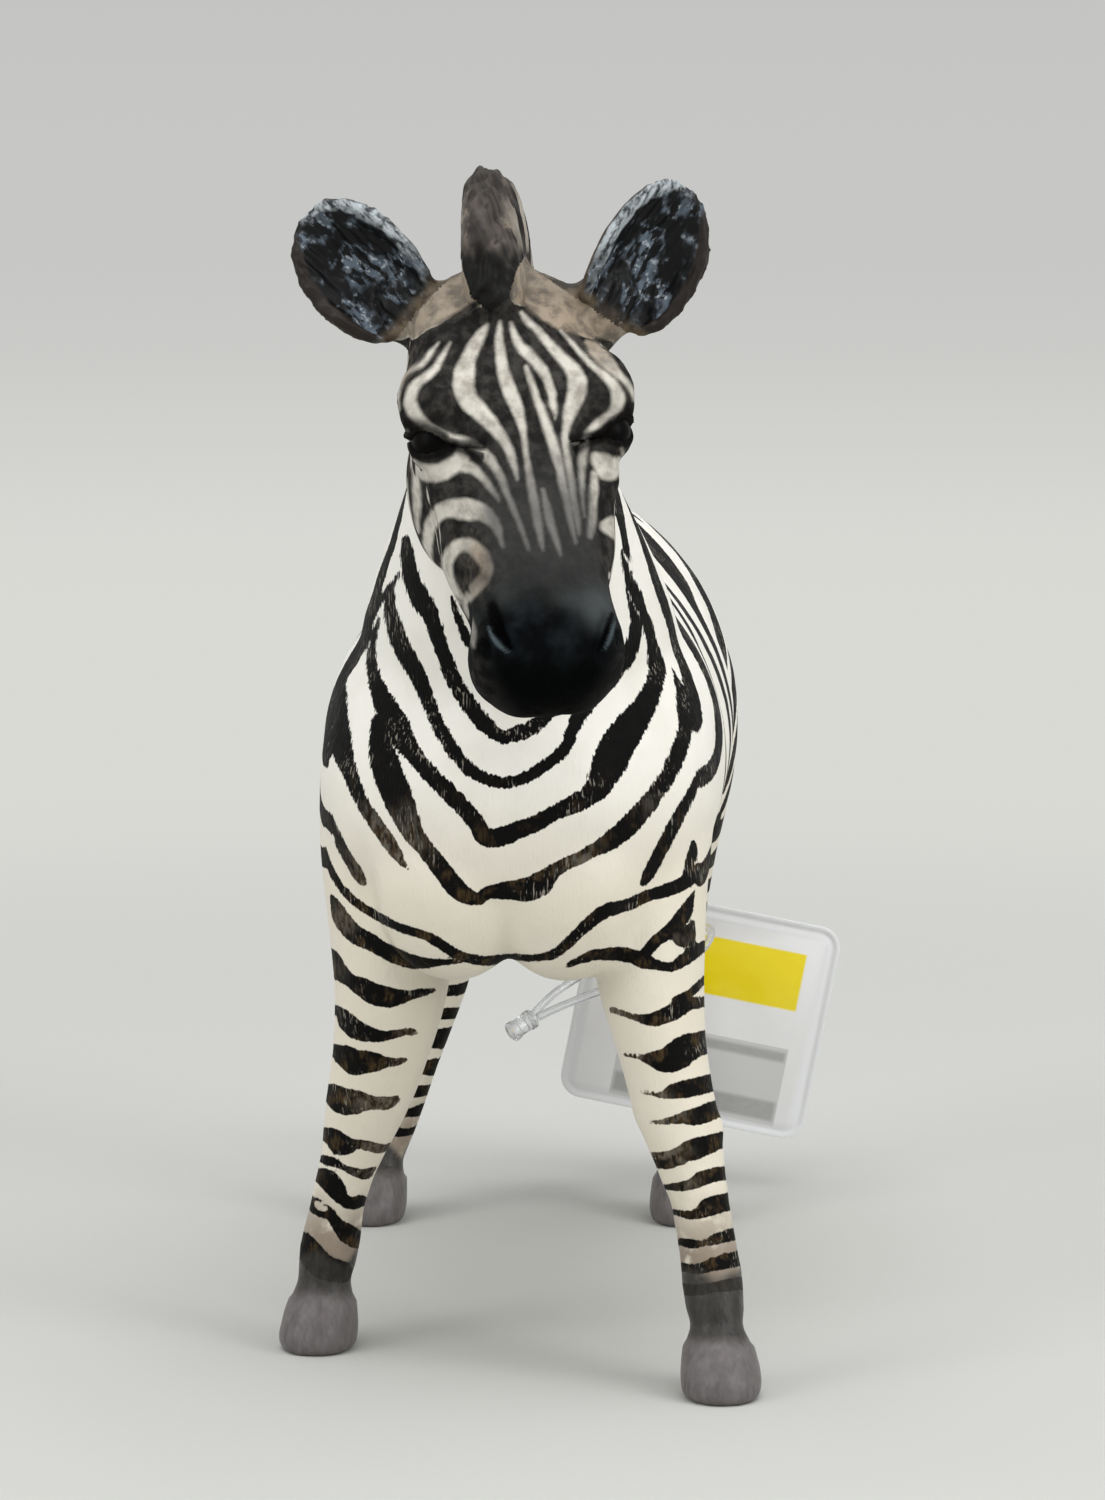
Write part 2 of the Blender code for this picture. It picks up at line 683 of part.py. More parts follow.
def make_eyes(parts):
    """Two glossy beads."""
    for name, side in (("eye_right", -1), ("eye_left", 1)):
        centre = head_point(side * EYE_SHARES[0], EYE_SHARES[1], EYE_SHARES[2])
        eye = ellipsoid(name, centre, head_axes(), (EYE_DIAMETER / 2,) * 3, parts, 16)
        paint(eye, (0.01, 0.01, 0.01), 0.08)


def smooth_row(points, steps):
    """Points on a smooth curve through a row of points."""
    smooth = []
    last = len(points) - 1
    for index in range(last):
        before = points[max(index - 1, 0)]
        start = points[index]
        end = points[index + 1]
        after = points[min(index + 2, last)]
        for step in range(steps):
            t = step / steps
            smooth.append(
                0.5 * (2 * start + (end - before) * t
                       + (2 * before - 5 * start + 4 * end - after) * t ** 2
                       + (3 * start - before - 3 * end + after) * t ** 3)
            )
    smooth.append(points[last])
    return smooth


def mane_blade(name, growth, collection):
    """An upright blade along the middle of the neck, its edge tufted, swollen by a clearance."""
    rings = []
    last = len(MANE_SHARES) - 1
    for index, (seat_along, seat_height, edge_along, edge_height) in enumerate(MANE_SHARES):
        seat = Vector((0, seat_along * TRUNK_LENGTH, seat_height * WITHERS_HEIGHT))
        edge = Vector((0, edge_along * TRUNK_LENGTH, edge_height * WITHERS_HEIGHT))
        edge.x = -MANE_LEAN_SHARE * (1 - index / last) * (edge - seat).length
        rise = (edge - seat).normalized()
        ahead = Vector((0, -rise.z, rise.y)) * growth * ((index == 0) - (index == last))
        tuft = MANE_TUFT_SHARE * MANE_THICKNESS * (1 if index % 2 else -1)
        low = seat - rise * (MANE_SEAT_DEPTH + growth) + ahead
        high = edge + rise * (tuft + growth) + ahead
        middle = (low + high) / 2
        half_height = (high - low).length / 2
        half_width = MANE_THICKNESS / 2 + growth
        ring = []
        for step in range(MANE_RING_POINTS):
            angle = 2 * math.pi * (step + 0.5) / MANE_RING_POINTS
            across, up = superellipse(angle, half_width, half_height, MANE_FULLNESS)
            ring.append(middle + Vector((across, 0, 0)) + rise * up)
        rings.append(ring)
    return loft(name, rings, collection, 1)


def mesh_from_curve(name, curve, matrix, collection):
    """Turn a curve into a closed mesh at its place."""
    drawn = bpy.data.objects.new(name + "_curve", curve)
    collection.objects.link(drawn)
    drawn.matrix_world = matrix
    bpy.context.view_layer.update()
    evaluated = drawn.evaluated_get(bpy.context.evaluated_depsgraph_get())
    mesh = bpy.data.meshes.new_from_object(evaluated)
    mesh.transform(matrix)
    bpy.data.objects.remove(drawn, do_unlink=True)
    mesh_data = bmesh.new()
    mesh_data.from_mesh(mesh)
    bpy.data.meshes.remove(mesh)
    bmesh.ops.remove_doubles(mesh_data, verts=mesh_data.verts, dist=GAP / 100)
    return object_from_bmesh(name, mesh_data, collection)


def ear_frame(name):
    """An ear's root point, the way it points, the way it opens, and its side."""
    root, point, opening = EAR_PLACE_SHARES[name]
    place = Vector((root[0] * TRUNK_WIDTH, root[1] * TRUNK_LENGTH, root[2] * WITHERS_HEIGHT))
    axis = Vector(point).normalized()
    opening = Vector(opening)
    opening = (opening - axis * opening.dot(axis)).normalized()
    return place, axis, opening, axis.cross(opening)


def ear_cup(name, collection):
    """The curled leaf of an ear, as an open sheet with a wall."""
    place, axis, opening, side = ear_frame(name)
    mesh_data = bmesh.new()
    rows = []
    across_steps = 12
    for along, half_width, wrap in EAR_SHARES:
        angle = math.radians(wrap)
        radius = half_width * EAR_WIDTH / math.sin(min(angle, math.pi / 2))
        row = []
        for step in range(across_steps + 1):
            turn = angle * (2 * step / across_steps - 1)
            point = place + axis * along * EAR_LENGTH
            point = point + side * radius * math.sin(turn) - opening * radius * math.cos(turn)
            row.append(mesh_data.verts.new(point + opening * radius))
        rows.append(row)
    for row, following in zip(rows, rows[1:]):
        for step in range(across_steps):
            mesh_data.faces.new((row[step], row[step + 1], following[step + 1], following[step]))
    cup = object_from_bmesh(name + "_cup", mesh_data, collection)
    wall = cup.modifiers.new("wall", "SOLIDIFY")
    wall.thickness = EAR_WALL
    wall.offset = 0
    return apply_modifiers(cup)


def ear_root(name, collection):
    """The fleshy root that carries the cup."""
    place, axis, opening, side = ear_frame(name)
    rings = []
    for along, radius in EAR_ROOT_SHARES:
        ring = []
        for step in range(RING_POINTS):
            angle = 2 * math.pi * step / RING_POINTS
            offset = side * math.cos(angle) + opening * math.sin(angle)
            ring.append(place + axis * along * EAR_LENGTH + offset * radius * EAR_WIDTH)
        rings.append(ring)
    return loft(name + "_root", rings, collection)


def make_ear(name, face, head, parts, cutters):
    """An ear whose root follows the head, with a peg and its socket."""
    forms = [ear_cup(name, cutters), ear_root(name, cutters)]
    ear = blend_forms(name, forms, EAR_GRAIN, EAR_FACES_SHARE, parts)
    boolean(ear, grown(face, "face_grown", GAP, cutters), "DIFFERENCE")
    place, axis, _, _ = ear_frame(name)
    inner = place - axis * SMALL_PEG_LENGTH
    outer = place + axis * SMALL_PEG_LENGTH * EAR_PEG_RISE_SHARE
    boolean(ear, rod("peg", inner, outer, EAR_PEG_DIAMETER, cutters), "UNION")
    socket = rod("socket", inner - axis * GAP, outer, EAR_PEG_DIAMETER + 2 * GAP, cutters)
    boolean(head, socket, "DIFFERENCE")
    paint(ear, (0.30, 0.27, 0.24), 0.60)
    return ear


def tail_form(collection):
    """The tail's rings, square to its route."""
    route = [
        Vector((out * TRUNK_WIDTH, along * TRUNK_LENGTH, height * WITHERS_HEIGHT))
        for along, out, height, _ in TAIL_SHARES
    ]
    rings = []
    for index, centre in enumerate(route):
        before = route[max(index - 1, 0)]
        after = route[min(index + 1, len(route) - 1)]
        side = Vector((1, 0, 0))
        back = (after - before).normalized().cross(side).normalized()
        radius = TAIL_SHARES[index][3] * TAIL_THICKNESS
        ring = []
        for step in range(RING_POINTS):
            angle = 2 * math.pi * step / RING_POINTS
            ring.append(centre + (side * math.cos(angle) + back * math.sin(angle)) * radius)
        rings.append(ring)
    return loft("tail_form", rings, collection)


def make_tail(body, torso, parts, cutters):
    """A hanging tail with a tuft, plugged into the rump."""
    tail = blend_forms("tail", [tail_form(cutters)], HEAD_GRAIN, HEAD_FACES_SHARE, parts)
    boolean(tail, grown(body, "body_grown", GAP, cutters), "DIFFERENCE")
    dock = Vector((0, TAIL_DOCK_SHARES[0] * TRUNK_LENGTH, TAIL_DOCK_SHARES[1] * WITHERS_HEIGHT))
    ahead = Vector((0, -1, 0))
    inner = dock + ahead * SMALL_PEG_LENGTH
    outer = dock - ahead * TAIL_THICKNESS / 2
    boolean(tail, rod("peg", inner, outer, TAIL_PEG_DIAMETER, cutters), "UNION")
    socket = rod("socket", inner + ahead * GAP, outer, TAIL_PEG_DIAMETER + 2 * GAP, cutters)
    boolean(torso, socket, "DIFFERENCE")
    paint(tail, (0.70, 0.68, 0.62), 0.50)
    return tail


def make_mane(torso, head, parts, cutters):
    """The upright mane, seated in a groove of the neck and head."""
    for casting in (torso, head):
        boolean(casting, mane_blade("groove", GAP, cutters), "DIFFERENCE")
    mane = mane_blade("mane", 0, parts)
    paint(mane, (0.16, 0.14, 0.12), 0.70)
    return mane


def loop_pivot():
    return Vector((
        LOOP_PIVOT_SHARES[0] * TRUNK_WIDTH,
        LOOP_PIVOT_SHARES[1] * TRUNK_LENGTH,
        LOOP_PIVOT_SHARES[2] * WITHERS_HEIGHT,
    ))


def tag_hole():
    """The middle of the loop's run through the tag."""
    return loop_pivot() + (Vector(LOOP_ROUTE[TAG_RUN]) + Vector(LOOP_ROUTE[TAG_RUN + 1])) / 2


def make_loop(parts):
    """The clear filament, a tube on a smooth curve through its route."""
    pivot = loop_pivot()
    route = smooth_row([Vector(point) for point in LOOP_ROUTE], 3)
    curve = bpy.data.curves.new("tag_loop", "CURVE")
    curve.dimensions = "3D"
    curve.bevel_depth = LOOP_DIAMETER / 2
    curve.bevel_resolution = 1
    curve.use_fill_caps = True
    spline = curve.splines.new("POLY")
    spline.points.add(len(route) - 1)
    for knot, point in zip(spline.points, route):
        knot.co = (*(pivot + point), 1)
    loop = mesh_from_curve("tag_loop", curve, Matrix.Identity(4), parts)
    paint(loop, (0.85, 0.87, 0.90), 0.15, alpha=0.4)
    return loop


def make_lock(parts, cutters):
    """The small barrel that both ends of the loop snap into."""
    first = Vector(LOOP_ROUTE[0])
    last = Vector(LOOP_ROUTE[-1])
    middle = loop_pivot() + (first + last) / 2
    away = (first + last - Vector(LOOP_ROUTE[1]) - Vector(LOOP_ROUTE[-2])).normalized()
    start = middle + away * GAP
    lock = rod("loop_lock", start, start + away * LOCK_LENGTH, LOCK_DIAMETER, parts)
    paint(lock, (0.85, 0.87, 0.90), 0.15, alpha=0.4)
    return lock


def tag_sheet(name, inset, thickness, front, parts, cutters):
    """A card with round corners, its hole threaded on the loop, its front face at a depth."""
    corner = CARD_CORNER_RADIUS - inset
    half_width = CARD_WIDTH / 2 - inset
    half_height = CARD_HEIGHT / 2 - inset
    curve = bpy.data.curves.new(name, "CURVE")
    curve.dimensions = "2D"
    curve.fill_mode = "BOTH"
    curve.extrude = thickness / 2
    spline = curve.splines.new("POLY")
    outline = []
    corner_steps = 4
    for quarter in range(4):
        middle_x = (half_width - corner) * (1 if quarter in (0, 3) else -1)
        middle_y = (half_height - corner) * (1 if quarter in (0, 1) else -1)
        for step in range(corner_steps + 1):
            angle = (quarter + step / corner_steps) * math.pi / 2
            outline.append((middle_x + corner * math.cos(angle), middle_y + corner * math.sin(angle)))
    spline.points.add(len(outline) - 1)
    for knot, point in zip(spline.points, outline):
        knot.co = (*point, 0, 1)
    spline.use_cyclic_u = True
    hole = tag_hole()
    hole_in_card = Vector((
        TAG_HOLE_IN_CARD_SHARES[0] * CARD_WIDTH, TAG_HOLE_IN_CARD_SHARES[1] * CARD_HEIGHT, 0
    ))
    stand = Matrix(((1, 0, 0), (0, 0, 1), (0, 1, 0))).to_4x4()
    tilt = Matrix.Rotation(CARD_TILT, 4, "Y")
    place = Matrix.Translation(hole + Vector((0, front + thickness / 2, 0)))
    matrix = place @ tilt @ stand @ Matrix.Translation(-hole_in_card)
    sheet = mesh_from_curve(name, curve, matrix, parts)
    reach = Vector((0, CARD_HEIGHT, 0))
    boolean(sheet, rod("punch", hole - reach, hole + reach, TAG_HOLE_DIAMETER, cutters), "DIFFERENCE")
    return sheet


def make_tag(parts, cutters):
    """A printed card in front and a folded leaflet behind it."""
    whole = CARD_THICKNESS + GAP + LEAFLET_THICKNESS
    card = tag_sheet("tag_card", 0, CARD_THICKNESS, -whole / 2, parts, cutters)
    paint(card, (0.88, 0.88, 0.88), 0.45)
    behind = -whole / 2 + CARD_THICKNESS + GAP
    leaflet = tag_sheet("tag_leaflet", LEAFLET_MARGIN, LEAFLET_THICKNESS, behind, parts, cutters)
    paint(leaflet, (0.85, 0.85, 0.84), 0.60)


def centre_figure(parts, aside):
    """Put the origin under the middle of the figure, without what hangs on it."""
    points = [vert.co for obj in parts.objects if obj.name not in aside for vert in obj.data.vertices]
    middle_x = (min(p.x for p in points) + max(p.x for p in points)) / 2
    middle_y = (min(p.y for p in points) + max(p.y for p in points)) / 2
    move = Matrix.Translation((-middle_x, -middle_y, 0))
    for obj in parts.objects:
        obj.data.transform(move)
    pivot = move @ loop_pivot()
    hole = move @ tag_hole()
    print("loop pivot", [round(value, 6) for value in pivot])
    print("tag hole", [round(value, 6) for value in hole])
    print("shift", [round(value, 6) for value in move.translation])


def shade(parts):
    for obj in parts.objects:
        obj.data.shade_smooth()
        obj.data.set_sharp_from_angle(angle=math.radians(40))


def build():
    clear_scene()
    parts = new_collection("toy_zebra")
    cutters = new_collection("cutters")

    forms = [trunk_form(cutters), neck_form(cutters)]
    forms += [leg_form(name, table, cutters) for name, table in LEG_TABLES]
    forms += breast_forms(cutters) + head_form(cutters)
    body = blend_forms("body_skin", forms, BODY_GRAIN, BODY_FACES_SHARE, cutters)
    forms = [neck_form(cutters)] + head_form(cutters)
    face = blend_forms("head_skin", forms, HEAD_GRAIN, HEAD_FACES_SHARE, cutters)

    torso = make_torso(body, parts, cutters)
    head = make_head(face, parts, cutters)
    for name, table in LEG_TABLES:
        make_leg(name, table, body, parts, cutters)
    make_eyes(parts)
    make_mane(torso, head, parts, cutters)
    for name in EAR_PLACE_SHARES:
        make_ear(name, face, head, parts, cutters)
    make_tail(body, torso, parts, cutters)
    make_loop(parts)
    make_lock(parts, cutters)
    make_tag(parts, cutters)

    for skin in (body, face):
        bpy.data.objects.remove(skin, do_unlink=True)
    centre_figure(parts, {"tag_loop", "loop_lock", "tag_card", "tag_leaflet"})
    shade(parts)


build()
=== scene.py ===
# %% [markdown]
# # Toy zebra with a swing tag
#
# A hand-painted, moulded plastic zebra of about 92 mm stands on a pale floor. This notebook
# builds what the camera sees of it on top of a frame of plain castings, which carry the
# measurements. It goes from the body's skin to its paint, and ends with the tag and the light.
# Tables and measurements are in millimetres. Blender's own places are in metres.

import bpy
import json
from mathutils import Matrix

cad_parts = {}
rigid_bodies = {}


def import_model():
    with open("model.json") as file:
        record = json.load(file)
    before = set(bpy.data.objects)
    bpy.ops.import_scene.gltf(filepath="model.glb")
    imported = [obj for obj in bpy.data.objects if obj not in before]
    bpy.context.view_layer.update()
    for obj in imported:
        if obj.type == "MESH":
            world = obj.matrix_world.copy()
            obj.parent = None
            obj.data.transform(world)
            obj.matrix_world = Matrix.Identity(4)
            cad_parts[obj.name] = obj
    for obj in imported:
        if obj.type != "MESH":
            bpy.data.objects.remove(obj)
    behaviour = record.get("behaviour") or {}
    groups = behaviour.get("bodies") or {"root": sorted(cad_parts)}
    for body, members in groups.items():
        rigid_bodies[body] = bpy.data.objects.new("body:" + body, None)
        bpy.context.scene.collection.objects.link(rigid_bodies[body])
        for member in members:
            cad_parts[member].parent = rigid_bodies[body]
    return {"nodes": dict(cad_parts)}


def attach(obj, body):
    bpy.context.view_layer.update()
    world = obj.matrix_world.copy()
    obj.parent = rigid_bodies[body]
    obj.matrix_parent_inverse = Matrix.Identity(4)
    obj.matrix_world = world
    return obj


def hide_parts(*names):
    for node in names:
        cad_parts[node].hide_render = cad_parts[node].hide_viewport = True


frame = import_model()
for name in ("Cube", "Light", "Camera"):
    if name in bpy.data.objects:
        bpy.data.objects.remove(bpy.data.objects[name], do_unlink=True)
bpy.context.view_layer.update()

import json
import math

import numpy as np
from mathutils import Matrix, Vector
from mathutils.bvhtree import BVHTree

MM = 0.001
print("castings", sorted(frame["nodes"]))

# %% [markdown]
# ## The view
#
# The photo is taken with a long lens from a little above and a little to the zebra's left.
# The camera is set up first, because the painter's stripes are planned on the front view:
# a stroke is a row of points in that view, counted from its upper left corner, and the
# same camera carries each stroke onto the figure.

# %% Camera
VIEW_TURN, VIEW_DROP = math.radians(3.5), math.radians(6.6886)
VIEW_POINT = Vector((24.768, -378.85, 90.0)) * MM
VIEW_LENS, SENSOR_WIDE = 112.56, 36

ahead = Vector((
    -math.sin(VIEW_TURN) * math.cos(VIEW_DROP),
    math.cos(VIEW_TURN) * math.cos(VIEW_DROP),
    -math.sin(VIEW_DROP),
))


def added(name, data):
    """A new object in the scene."""
    obj = bpy.data.objects.new(name, data)
    bpy.context.scene.collection.objects.link(obj)
    return obj


def aim(obj, place, way):
    """Put a camera or a lamp at a place, looking along a way."""
    obj.location = place
    obj.rotation_mode = "QUATERNION"
    obj.rotation_quaternion = way.to_track_quat("-Z", "Y")


camera = added("camera", bpy.data.cameras.new("camera"))
aim(camera, VIEW_POINT, ahead)
camera.data.lens, camera.data.sensor_width = VIEW_LENS, SENSOR_WIDE
camera.data.clip_start, camera.data.clip_end = 0.01, 10
bpy.context.scene.camera = camera
print("camera", round(VIEW_POINT.z / MM), "mm above the floor")

# %% Front view
FRAME_WIDE, FRAME_HIGH = 1105, 1500
FOCAL = VIEW_LENS / SENSOR_WIDE * FRAME_HIGH
to_right = ahead.cross(Vector((0, 0, 1))).normalized()
upwards = to_right.cross(ahead)


def to_view(places):
    """Where places are seen, the pixels per millimetre there, and the lines of sight."""
    away = places * MM - np.array(VIEW_POINT)
    depth = away @ np.array(ahead)
    across = FRAME_WIDE / 2 + FOCAL * (away @ np.array(to_right)) / depth
    down = FRAME_HIGH / 2 - FOCAL * (away @ np.array(upwards)) / depth
    sight = away / np.linalg.norm(away, axis=1)[:, None]
    return np.stack([across, down], axis=1), FOCAL / (depth / MM), sight


def view_ray(across, down):
    """The direction in which a place of the front view lies."""
    ray = ahead + to_right * ((across - FRAME_WIDE / 2) / FOCAL)
    return (ray - upwards * ((down - FRAME_HIGH / 2) / FOCAL)).normalized()


print("the middle of the view meets the floor",
      round(VIEW_POINT.z / MM / math.tan(VIEW_DROP)), "mm ahead")

# %% [markdown]
# ## Small helpers
#
# Each piece is picked alone before an operator works on it, and its modifiers are applied
# as soon as they are set, so every later cell sees plain meshes. The points of a mesh are
# read and written as tables, because the skin has several hundred thousand of them.


# %% Picking and finishing
def pick(*objects):
    """Select these objects only, or nothing, and leave edit mode."""
    if bpy.context.object and bpy.context.object.mode != "OBJECT":
        bpy.ops.object.mode_set(mode="OBJECT")
    for obj in bpy.context.selected_objects:
        obj.select_set(False)
    for obj in objects:
        obj.select_set(True)
    if objects:
        bpy.context.view_layer.objects.active = objects[0]


def edit(obj, chosen=None):
    """Enter edit mode with the chosen faces of an object selected, or with all of them."""
    pick(obj)
    bpy.ops.object.mode_set(mode="EDIT")
    bpy.ops.mesh.select_mode(type="FACE")
    if chosen is None:
        bpy.ops.mesh.select_all(action="SELECT")
        return
    bpy.ops.mesh.select_all(action="DESELECT")
    bpy.ops.object.mode_set(mode="OBJECT")
    obj.data.polygons.foreach_set("select", chosen)
    bpy.ops.object.mode_set(mode="EDIT")


def bake(obj):
    """Apply every modifier of an object."""
    pick(obj)
    for modifier in list(obj.modifiers):
        bpy.ops.object.modifier_apply(modifier=modifier.name)


def soften(obj, width, limit):
    """Round the edges that turn by more than a limit, and shade gentle ones smooth."""
    bevel = obj.modifiers.new("soften", "BEVEL")
    bevel.width, bevel.segments = width * MM, 2
    bevel.limit_method, bevel.angle_limit = "ANGLE", math.radians(limit)
    bake(obj)
    bpy.ops.object.shade_smooth_by_angle(angle=math.radians(35))


def hand_over(piece, material, body, node, slot):
    """Paint a piece, and say what carries it and which casting it shows. The slot is not used."""
    piece.data.materials.clear()
    piece.data.materials.append(material)
    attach(piece, body)
    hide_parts(node)
    print(piece.name, len(piece.data.polygons), "faces")


# %% Meshes as tables
def rows_of(items, key):
    """Three numbers for each point or face of a mesh, one row each."""
    numbers = np.empty(len(items) * 3)
    items.foreach_get(key, numbers)
    return numbers.reshape(-1, 3)


def points_of(obj):
    return rows_of(obj.data.vertices, "co") / MM


def normals_of(obj):
    return rows_of(obj.data.vertex_normals, "vector")


def centres_of(obj):
    return rows_of(obj.data.polygons, "center") / MM


def put_points(obj, places):
    obj.data.vertices.foreach_set("co", (places * MM).ravel())
    obj.data.update()


def put_values(obj, **values):
    """Store numbers on the points under their names, for the shader."""
    for name, numbers in values.items():
        layer = obj.data.attributes.new(name, "FLOAT", "POINT")
        layer.data.foreach_set("value", np.asarray(numbers, np.float32))


# %% Steps, waves and routes
def step_up(values, start, end):
    """A smooth step from 0 at start to 1 at end."""
    t = np.clip((values - start) / (end - start), 0, 1)
    return t * t * (3 - 2 * t)


def faded(values, seed, size):
    """Slow pseudo-random waves over places in millimetres, about -1 to 1."""
    turn = np.random.default_rng(seed)
    total = np.zeros(len(values))
    for _ in range(6):
        wave = turn.normal(size=3)
        wave *= 2 * math.pi / (size * np.linalg.norm(wave)) * turn.uniform(0.7, 1.5)
        total += np.sin(values @ wave + turn.uniform(0, 6.3))
    return total / 3


def along_runs(places, route):
    """For each run between a route's points: its number, and places' share of it and distance."""
    for index, (start, end) in enumerate(zip(route, route[1:])):
        run = end - start
        share = np.clip((places - start) @ run / max(run @ run, 1e-9), 0, 1)
        yield index, share, np.linalg.norm(places - start - share[:, None] * run, axis=1)


def nearest(places, route):
    """Distance from a route, and how far down it, counted in its points."""
    best, down = np.full(len(places), np.inf), np.zeros(len(places))
    for index, share, away in along_runs(places, np.array(route, float)):
        down = np.where(away < best, index + share, down)
        best = np.minimum(best, away)
    return best, down


print("helpers ready")

# %% [markdown]
# ## Ears, mane and tail in the skin
#
# Ears, mane and tail grow out of the body without a step, but they are painted and carved in
# their own way. These helpers say for any place which of them it lies on, and where there:
# along an ear, up a strand of the mane, or down the tail.

# %% Chart of an ear
# the root of each ear, the way it points and the way it opens
EARS = {
    "ear_right": ((-5.45, -33.59, 80.78), (-0.74, 0.05, 0.67), (-0.12, -0.98, -0.05)),
    "ear_left": ((6.43, -33.22, 80.92), (0.56, 0.05, 0.83), (0.50, -0.86, -0.05)),
}
EAR_REACH, NOT_ON_EAR = 6.8, -9.0


def ear_chart(places, name):
    """Along, across and out of an ear, and the way it opens."""
    root, axis, opening = (np.array(row) for row in EARS[name])
    axis = axis / np.linalg.norm(axis)
    opening = opening - axis * (opening @ axis)
    opening = opening / np.linalg.norm(opening)
    away = places - root
    along, out, across = away @ axis, away @ opening, away @ np.cross(axis, opening)
    return np.where(np.hypot(out, across) < EAR_REACH, along, NOT_ON_EAR), across, out, opening


# %% Chart of the mane
# seat and tip of each strand: back along the trunk and up, as shares of its length and height
MANE_ROWS = (
    (-0.070, 1.200, -0.108, 1.196), (-0.062, 1.212, -0.118, 1.262), (-0.040, 1.222, -0.088, 1.336),
    (-0.014, 1.228, -0.046, 1.361), (0.010, 1.224, -0.002, 1.368), (0.036, 1.210, 0.042, 1.346),
    (0.062, 1.192, 0.082, 1.316), (0.092, 1.166, 0.120, 1.272), (0.122, 1.136, 0.158, 1.234),
    (0.154, 1.104, 0.196, 1.184), (0.188, 1.072, 0.232, 1.136), (0.224, 1.040, 0.264, 1.080),
    (0.262, 1.008, 0.292, 1.030), (0.300, 0.982, 0.312, 0.990),
)
TRUNK_LONG, WITHERS_HIGH, TRUNK_START = 74.0, 68.0, -32.111
MANE_MIDDLE, MANE_HALF_WIDE, MANE_FRONT = -0.5, 2.8, -41.5
FORELOCK_FROM, FRONT_FADE = -33, 3.0
FORELOCK_HEIGHTS, FORELOCK_HALF_WIDE = (82.0, 83.0, 85.4, 87.5), (0.15, 1.35, 2.05, 2.8)


def mane_chart(places):
    """Place along the crest in rows, share of the way up a strand, and the strand's way."""
    rows = np.array(MANE_ROWS) * (TRUNK_LONG, WITHERS_HIGH, TRUNK_LONG, WITHERS_HIGH)
    rows[:, (0, 2)] += TRUNK_START
    seat, tip, last = rows[:, :2], rows[:, 2:], len(rows) - 1
    flat = places[:, 1:]
    run = (tip - seat) / np.linalg.norm(tip - seat, axis=1)[:, None]
    turn = np.array([way[0] * (flat[:, 1] - foot[1]) - way[1] * (flat[:, 0] - foot[0])
                     for way, foot in zip(run, seat)])
    row = np.where(turn[0] > 0, -np.clip(turn[0] / FRONT_FADE, 0, 1), 0.0)
    for i in range(last):
        between = (turn[i] <= 0) & (turn[i + 1] > 0)
        row = np.where(between, i + turn[i] / (turn[i] - turn[i + 1]), row)
    row = np.where((turn[-1] <= 0) & (turn[0] <= 0), last, row)
    whole = np.clip(row, 0, last)
    base, end = (np.stack([np.interp(whole, range(last + 1), ends[:, k]) for k in range(2)], 1)
                 for ends in (seat, tip))
    strand = end - base
    share = ((flat - base) * strand).sum(1) / np.maximum((strand * strand).sum(1), 1e-6)
    forelock_wide = np.interp(places[:, 2], FORELOCK_HEIGHTS, FORELOCK_HALF_WIDE)
    wide = np.where(places[:, 1] < FORELOCK_FROM, forelock_wide, MANE_HALF_WIDE)
    off = (np.abs(places[:, 0] - MANE_MIDDLE) > wide) | (row < -0.02) | (places[:, 1] < MANE_FRONT)
    share = np.where(off, -1.0, share)
    return row, share, strand / np.maximum(np.linalg.norm(strand, axis=1), 1e-6)[:, None]


# %% Route of the tail, and how thin a place is
TAIL_ROUTE = (
    (0.0, 38.19, 60.86), (0.0, 41.15, 60.72), (0.0, 43.81, 59.30), (-0.17, 45.88, 55.76),
    (-0.50, 47.22, 50.66), (-0.99, 47.81, 44.88), (-1.65, 48.10, 39.78), (-2.48, 48.10, 34.68),
    (-3.30, 47.81, 29.92), (-3.96, 47.37, 26.52),
)
TAIL_REACH = 4


def thin_parts(places):
    """Near 1 on the ears, the mane and the tail, 0 on the body."""
    thin = step_up(mane_chart(places)[1], 0.10, 0.5) * 0.8
    for name in EARS:
        thin = np.maximum(thin, 0.85 * step_up(ear_chart(places, name)[0], 0.8, 3.0))
    away, down = nearest(places, TAIL_ROUTE)
    return np.maximum(thin, 0.75 * (away < TAIL_REACH) * step_up(down, 1.0, 2.0))


print("charts ready")

# %% [markdown]
# ## The body's skin
#
# The real figure is a hard moulding: barrel, neck, head, ears, mane and legs are one sculpted
# surface, and its parting lines are filled and painted over. So the castings are swollen a
# little, which closes the gaps between them, and melted into one fine skin. On the head, ears,
# mane and tail it is divided once more, because paint and hair are finest there.

# %% One skin over the castings
BODY_NODES = (
    "torso", "head", "eye_left", "eye_right", "ear_left", "ear_right", "mane", "tail",
    "foreleg_left", "foreleg_right", "hindleg_left", "hindleg_right",
)
SWELL, GRAIN, MERGE = 0.19, 0.34, 0.02


def node_copy(name):
    """An own copy of a casting, with its points merged."""
    copy = added(name + "_copy", frame["nodes"][name].data.copy())
    edit(copy)
    bpy.ops.mesh.remove_doubles(threshold=MERGE * MM)
    pick()
    copy.data.materials.clear()
    return copy


def melted(sources):
    """One skin over several castings: swollen to close their gaps, then remeshed."""
    pick(*sources)
    bpy.ops.object.join()
    whole = bpy.context.object
    grow = whole.modifiers.new("grow", "DISPLACE")
    grow.strength, grow.mid_level = SWELL * MM, 0
    melt = whole.modifiers.new("melt", "REMESH")
    melt.mode, melt.voxel_size = "VOXEL", GRAIN * MM
    bake(whole)
    bpy.ops.mesh.separate(type="LOOSE")
    outside, *inner = sorted(bpy.context.selected_objects, key=lambda part: -len(part.data.vertices))
    for shell in inner:
        bpy.data.objects.remove(shell, do_unlink=True)
    return outside


